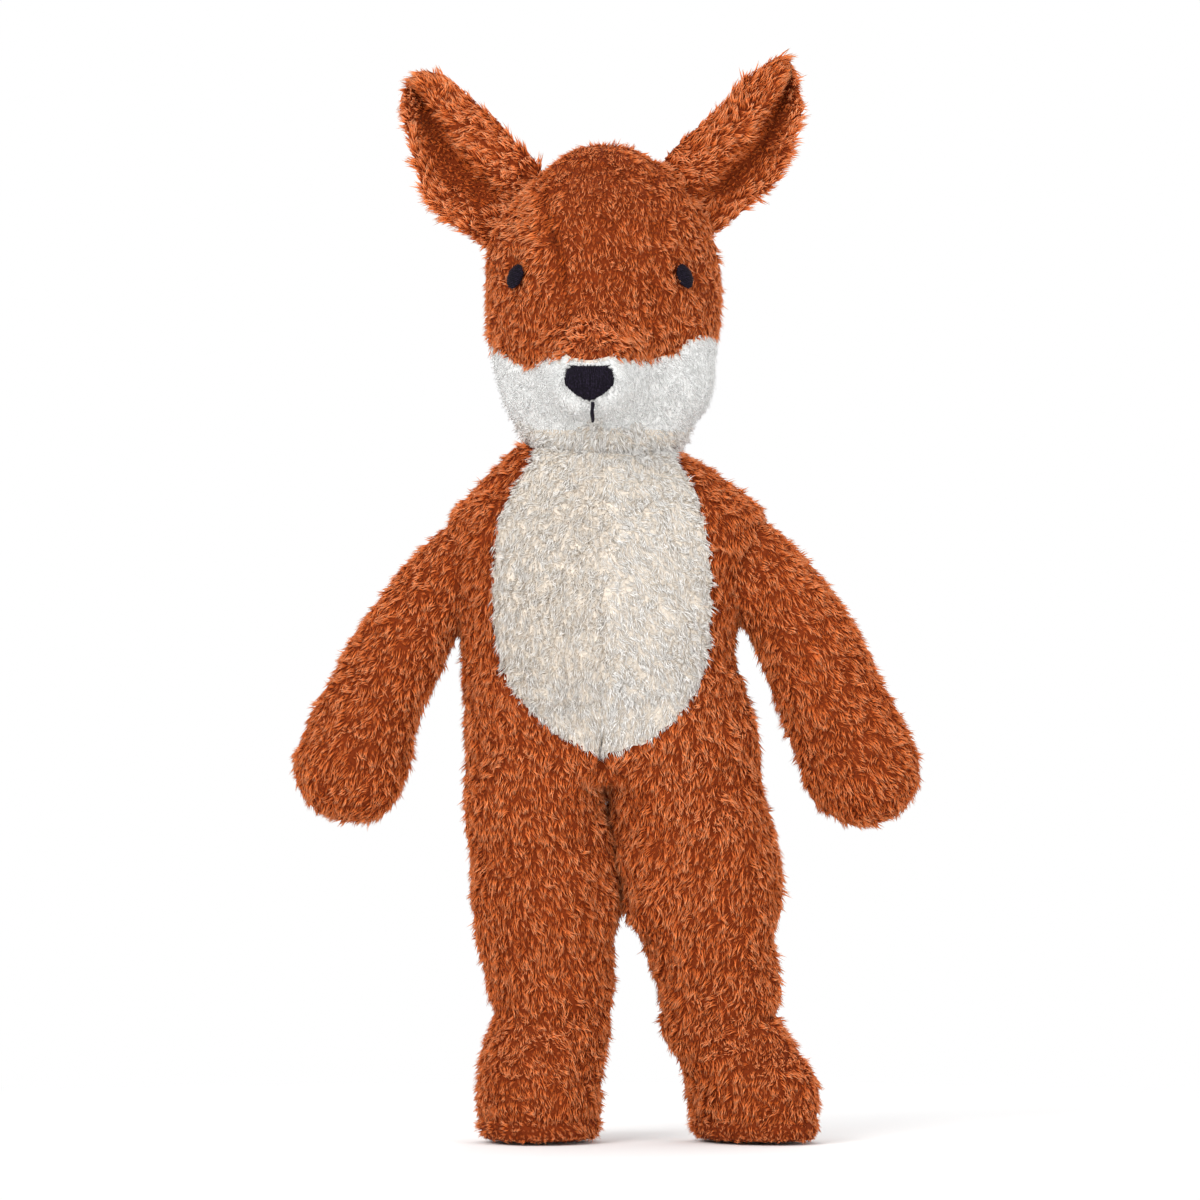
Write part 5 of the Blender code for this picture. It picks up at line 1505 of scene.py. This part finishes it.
@dataclass
class Leg:
    """One leg and foot, whose upper end bends with the hip fold."""

    side: Side
    torso: TorsoForm = field(default_factory=TorsoForm)
    hip_height: float = 122 * MM
    hip_radius: float = 26.5 * MM
    half_width: float = 23 * MM
    crotch_gap: float = 1.2 * MM
    ankle: float = 41 * MM
    sole: float = 6 * MM
    foot_forward: float = -8.5 * MM
    foot_out: tuple[float, float] = (-3 * MM, 24 * MM)
    foot_turn: tuple[float, float] = (math.radians(-3), math.radians(22))
    # How far the inner sides swell so that the legs touch, and over which heights
    inner_bulge: tuple[float, float] = (4.7 * MM, 4.4 * MM)
    bulge_rise: tuple[float, float] = (63 * MM, 77 * MM)
    bulge_ease: tuple[float, float] = (88 * MM, 98 * MM)
    bulge_end: tuple[float, float] = (116 * MM, 130 * MM)
    pile_room: float = 2.4 * MM
    sole_room: float = 1.5 * MM
    # Over these heights the leg's section turns into half of the torso's
    join_torso: tuple[float, float] = (100 * MM, 128 * MM)
    seam_room: float = 0.05 * MM
    blend_start: float = 150 * MM
    blend_end: float = 95 * MM
    rows: int = 96
    foot_rows: int = 15
    sides: int = 88
    # Shares: height in hip heights, way out left and right, way forward, half width left and
    # right, and half depth
    shares: tuple[tuple[float, ...], ...] = (
        (0.0, 1.0, 0.89, 1.0, 0.887, 0.887, 1.068),
        (0.0165, 1.0, 0.89, 1.0, 0.939, 0.925, 1.113),
        (0.045, 1.0, 0.89, 1.0, 0.945, 0.935, 1.113),
        (0.075, 0.95, 0.88, 0.99, 0.94, 0.93, 1.07),
        (0.148, 0.9, 0.85, 0.88, 0.95, 0.97, 1.038),
        (0.246, 1.3, 0.625, 0.59, 0.94, 0.99, 0.925),
        (0.336, 2.1, 0.54, 0.235, 0.92, 0.92, 0.811),
        (0.402, 1.95, 0.52, 0.175, 0.965, 0.915, 0.811),
        (0.525, 1.62, 0.40, 0.12, 1.045, 1.015, 0.868),
        (0.689, 0.97, 0.356, 0.06, 1.07, 1.146, 0.943),
        (0.852, 0.25, 0.204, 0.0, 1.02, 1.174, 0.981),
        (1.0, 0.0, 0.142, 0.0, 1.0, 1.148, 1.0),
        (1.23, 0.0, 0.0, 0.0, 1.0, 1.0, 1.0),
    )

    def outline(self, heights: Points) -> Points:
        """Rows of the leg's cloth: the torso's half section at the top, an oval below the crotch."""
        sign, form = self.side.sign, self.torso
        pick = self.side.pick
        turns = 2 * math.pi * (np.arange(self.sides) + 0.5) / self.sides
        table = through(self.shares, heights / self.hip_height)
        middle = sign * (self.half_width + self.crotch_gap / 2)
        torso = form.section(heights)
        rows = []
        for z, (*outs, forward, left, right, deep), (*broads, front, back) in zip(heights, table, torso):
            room = self.pile_room + 3.2 * MM * max(0.0, 1 - z / (7 * MM)) ** 2
            out, wide, broad = self.foot_out[pick] * outs[pick], (left, right)[pick], broads[pick]
            turn = self.foot_turn[pick] * min(1.0, max(0.0, (1.6 * self.ankle - z) / self.ankle))
            a = (self.half_width * wide - room) * np.sin(turns)
            b = self.foot_forward * forward - (self.hip_radius * deep - room) * np.cos(turns)
            x = middle + sign * out + a * math.cos(turn) - b * math.sin(turn)
            y = a * math.sin(turn) + b * math.cos(turn)
            place = np.array(z)
            near = ramp(*self.bulge_rise, place) * (1 - 0.3 * ramp(*self.bulge_ease, place))
            near = float(near * (1 - 0.88 * ramp(*self.bulge_end, place)))
            x = x - sign * self.inner_bulge[pick] * near * np.maximum(-sign * np.sin(turns), 0.0)
            outer = np.maximum(sign * np.sin(turns), 0.0)
            depth = np.where(np.cos(turns) > 0, front, back) - room
            torso_x = form.centre_x + sign * (self.seam_room + (broad - room - self.seam_room) * outer)
            share = float(ramp(*self.join_torso, place))
            x = x + (torso_x - x) * share
            y = y + (-depth * np.cos(turns) - y) * share
            rows.append(np.stack([x, y, np.full(self.sides, z)], 1))
        return np.array(rows)

    def build(self, grower: PileGrower) -> None:
        """Make the leg's cloth and pile."""
        name, sign = self.side.value, self.side.sign
        low = np.linspace(self.sole_room, 12 * MM, self.foot_rows)
        high = np.linspace(13 * MM, self.blend_start + 1 * MM, self.rows - self.foot_rows)
        heights = np.concatenate([low, high])
        cloth = Cloth(
            shell("leg_cloth_" + name, self.outline(heights)),
            "torso",
            "leg_" + name,
            ((0.0, 0.0, self.blend_start), (0.0, 0.0, self.blend_end)),
        )
        p = cloth.places()
        x, y, z = p.T
        belly = self.torso.belly(p)
        upper = ramp(2 * self.sole, 4 * self.sole, z)
        dents = groove(z - self.ankle - 1.5 * MM * np.sin(x / (9 * MM)), 1.0 * MM, 2.2 * MM)
        dents += groove(z - self.sole - 2 * MM, 0.9 * MM, 1.4 * MM)
        dents += groove(y, 0.5 * MM, 1.5 * MM) * upper
        dents += groove(belly, 0.8 * MM, 1.6 * MM) * (y < 0)
        lumps = 1.0 * MM * ripple(p * (1, 1, 1.5), 24 * MM, 41 + sign) + 0.4 * MM * ripple(p, 9 * MM, 42 + sign)
        lumps += 0.2 * MM * ripple(p, 4 * MM, 45)
        fade = upper * (1 - ramp(125 * MM, 148 * MM, z))
        cloth.press(np.where(z > 2 * self.sole_room, dents - lumps * np.maximum(fade, 0.15), 0.0))
        foot = 1 - ramp(self.ankle - 4 * MM, self.ankle, z)
        inward = np.stack([-0.2 * sign + 0 * x, -0.5 * foot, -1 + 0 * x], 1)
        rim = ramp(2 * MM, 12 * MM, z)
        toe = cloth.normals()[:, 2] < -0.7
        cloth.comb(np.where(toe[:, None], (0.3, -1.0, 0.0), inward), np.where(toe, 2.5, 0.1 + 0.9 * rim))
        cloth.store("fur", np.where(toe, 0.8, (0.6 + 0.4 * rim) * np.where(belly > 0, 1.05, 1.0)))
        # Painted shade in the ankle's crease and painted light over the whole leg; the foot is darker, and the
        # belly's tip darker on the left and lighter on the right
        shade = 0.16 - 0.25 * groove(z - self.ankle, 1, 2.5 * MM) - 0.12 * foot + 0.05 * ripple(p, 30 * MM, 6)
        shade += np.where(belly > 0, 0.14 * sign, 0.0)
        cloth.store("shade", shade)
        in_leg = np.minimum(-belly, self.torso.fold_height + 1 * MM - z)
        above = np.minimum(z - self.ankle, in_leg)
        gusset = np.minimum(belly, self.torso.fold_height + 1 * MM - z)
        rim = self.sole + 1.5 * MM
        thigh = (f"leg_front_{name}", f"hip_gather_{name}")
        panels = {
            f"leg_front_pile_{name}": (RUST_PILE, np.minimum(above, -y), thigh),
            f"leg_back_pile_{name}": (RUST_PILE, np.minimum(above, y), (f"leg_back_{name}",)),
            f"foot_pile_{name}": (RUST_PILE, np.minimum(self.ankle - z, z - rim), (f"foot_upper_{name}",)),
            f"sole_pile_{name}": (RUST_PILE, rim - z, (f"sole_{name}",)),
            f"belly_tip_pile_{name}": (CREAM_PILE, gusset, (f"belly_tip_{name}",)),
        }
        for panel, (pile, mask, nodes) in panels.items():
            slot = "cream_pile" if pile is CREAM_PILE else "rust_pile"
            grower.grow(cloth, panel, pile, mask, slot, *nodes)
        cloth.finish(np.sign(belly), f"leg_stuffing_{name}")


@dataclass
class Tail:
    """A short brush with a white tip."""

    root: tuple[float, float, float] = (0.0, 31 * MM, 144 * MM)
    from_down: float = math.radians(38)
    length: float = 56 * MM
    radius: float = 11 * MM
    root_radius: float = 6.5 * MM
    tip_share: float = 0.68
    pile_room: float = 2.2 * MM
    shares: tuple[tuple[float, float], ...] = (
        (0.0, 0.0),
        (0.25, 0.62),
        (0.5, 1.0),
        (0.72, 0.96),
        (0.88, 0.62),
        (0.97, 0.28),
    )

    def build(self, grower: PileGrower) -> None:
        """Make the tail's cloth and pile."""
        way = np.array((0.0, math.sin(self.from_down), -math.cos(self.from_down)))
        run = np.linspace(0, 0.97, 30)
        swell = through(self.shares, run)[:, 0]
        centres = np.array(self.root) + np.outer(run * (self.length - self.radius), way)
        radii = self.root_radius + (self.radius - self.root_radius) * swell - self.pile_room
        rows, runs = tube(centres, radii, 44, 8)
        cloth = Cloth(shell("tail_cloth", rows), "tail")
        p = cloth.places()
        along = (p - self.root) @ way
        cloth.press(-0.5 * MM * ripple(p, 12 * MM, 51))
        cloth.comb(np.tile(way, (len(p), 1)))
        cloth.store("fur", 1.0 + 0.25 * ramp(20 * MM, 45 * MM, along))
        cloth.store("shade", np.zeros(len(p)))
        tip = along - self.length * self.tip_share
        grower.grow(cloth, "tail_brush_pile", RUST_PILE, -tip, "rust_pile", "tail_brush")
        grower.grow(cloth, "tail_tip_pile", WHITE_PILE, tip, "white_pile", "tail_tip")
        cloth.finish(np.where(tip > 0, 2.0, -1.0), "tail_stuffing")


@dataclass
class Studio:
    """A pale floor that fades into white, soft lamps and a camera that looks the fox in the face."""

    view_height: float = 387 * MM
    aim: tuple[float, float, float] = (-1.6 * MM, 0.0, 174.4 * MM)
    distance: float = 3.4
    # Each lamp's name, place, size in metres and power in watts
    lamps: tuple[tuple[str, tuple[float, float, float], float, float], ...] = (
        ("key", (-1.1, -1.7, 1.15), 1.4, 40.0),
        ("fill", (1.4, -1.8, 0.35), 1.5, 34.0),
        ("back", (0.1, 0.9, 1.7), 1.0, 10.0),
    )
    floor_colour: str = "#f4f3f1"
    floor_grain: str = "#f9f8f7"
    sky_colour: str = "#f6f7f9"
    reach: float = 3.0

    def build(self) -> None:
        """Make the floor, the lamps, the world and the camera."""
        scene = bpy.context.scene
        scene.view_settings.view_transform = "Standard"
        reach = self.reach
        corners_at = [(-reach, -reach, 0), (reach, -reach, 0), (reach, reach, 0), (-reach, reach, 0)]
        mesh = bpy.data.meshes.new("floor")
        mesh.from_pydata(corners_at, [], [(0, 1, 2, 3)])
        floor = bpy.data.objects.new("floor", mesh)
        scene.collection.objects.link(floor)
        mesh.materials.append(self.board())
        for lamp in self.lamps:
            self.light(*lamp)
        world = bpy.data.worlds.new("studio")
        scene.world = world
        world.use_nodes = True
        tree = world.node_tree
        tree.nodes.clear()
        soft = add_node(tree, "ShaderNodeBackground", inputs={0: linear(self.sky_colour), 1: 0.78})
        white = add_node(tree, "ShaderNodeBackground", inputs={0: (1.0, 1.0, 1.0, 1.0), 1: 1.0})
        shown = add_node(
            tree, "ShaderNodeMixShader", inputs={0: self.seen(tree), 1: soft.outputs[0], 2: white.outputs[0]}
        )
        add_node(tree, "ShaderNodeOutputWorld", inputs={0: shown.outputs[0]})
        lens = bpy.data.cameras.new("camera")
        lens.sensor_width = 36.0
        lens.lens = lens.sensor_width * self.distance / self.view_height
        lens.clip_end = 50.0
        camera = bpy.data.objects.new("camera", lens)
        scene.collection.objects.link(camera)
        camera.location = Vector(self.aim) + Vector((0.0, -self.distance, 0.0))
        camera.rotation_euler = (math.pi / 2, 0.0, 0.0)
        scene.camera = camera

    def seen(self, tree: bpy.types.NodeTree) -> bpy.types.NodeSocket:
        """1 for what the camera sees straight, in gloss or through glass, and 0 for other light."""
        path = add_node(tree, "ShaderNodeLightPath")
        rays = [path.outputs[name] for name in ("Is Camera Ray", "Is Glossy Ray", "Is Transmission Ray")]
        either = add_node(tree, "ShaderNodeMath", {"operation": "MAXIMUM"}, {0: rays[0], 1: rays[1]})
        return add_node(
            tree, "ShaderNodeMath", {"operation": "MAXIMUM"}, {0: either.outputs[0], 1: rays[2]}
        ).outputs[0]

    def board(self) -> bpy.types.Material:
        """Matt painted board, pale under the fox and fading to plain white behind it."""
        material, tree, shader = new_surface("painted_board")
        place = add_node(tree, "ShaderNodeTexCoord").outputs["Object"]
        grain = add_node(tree, "ShaderNodeTexNoise", inputs={"Vector": place, "Scale": 4.0})
        tint = mixed(tree, grain.outputs[0], linear(self.floor_colour), linear(self.floor_grain))
        tree.links.new(tint, shader.inputs["Base Color"])
        shader.inputs["Roughness"].default_value = 0.9
        away = add_node(tree, "ShaderNodeVectorMath", {"operation": "LENGTH"}, {0: place}).outputs["Value"]
        far = add_node(
            tree, "ShaderNodeMapRange", {"interpolation_type": "SMOOTHSTEP"}, {0: away, 1: 0.1, 2: 0.42}
        )
        share = add_node(
            tree, "ShaderNodeMath", {"operation": "MULTIPLY"}, {0: far.outputs[0], 1: self.seen(tree)}
        )
        white = add_node(tree, "ShaderNodeEmission", inputs={0: (1.0, 1.0, 1.0, 1.0), 1: 1.0})
        both = add_node(
            tree, "ShaderNodeMixShader", inputs={0: share.outputs[0], 1: shader.outputs[0], 2: white.outputs[0]}
        )
        tree.links.new(both.outputs[0], tree.nodes["Material Output"].inputs[0])
        return material

    def light(self, name: str, place: tuple[float, float, float], size: float, power: float) -> None:
        """Hang one soft lamp and aim it at the fox."""
        lamp = bpy.data.lights.new(name, "AREA")
        lamp.shape = "DISK"
        lamp.size = size
        lamp.energy = power
        thing = bpy.data.objects.new(name, lamp)
        bpy.context.scene.collection.objects.link(thing)
        thing.location = place
        thing.rotation_mode = "QUATERNION"
        thing.rotation_quaternion = (Vector(place) - Vector(self.aim)).to_track_quat("Z", "Y")


def main() -> None:
    """Build every sub-assembly over the frame, then the studio."""
    logging.basicConfig(level=logging.INFO, format="%(message)s")
    for thing in list(bpy.data.objects):
        bpy.data.objects.remove(thing, do_unlink=True)
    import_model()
    grower = PileGrower()
    parts: list[Head | Ear | Neck | Torso | Arm | Leg | Tail] = [Head(), Neck(), Torso(), Tail()]
    parts += [kind(side) for kind in (Ear, Arm, Leg) for side in Side]
    for part in parts:
        part.build(grower)
        LOG.info("built %s", type(part).__name__)
    LOG.info("pile: %d panels, %d triangles", grower.panels, grower.triangles)
    Studio().build()


if __name__ == "__main__":
    main()
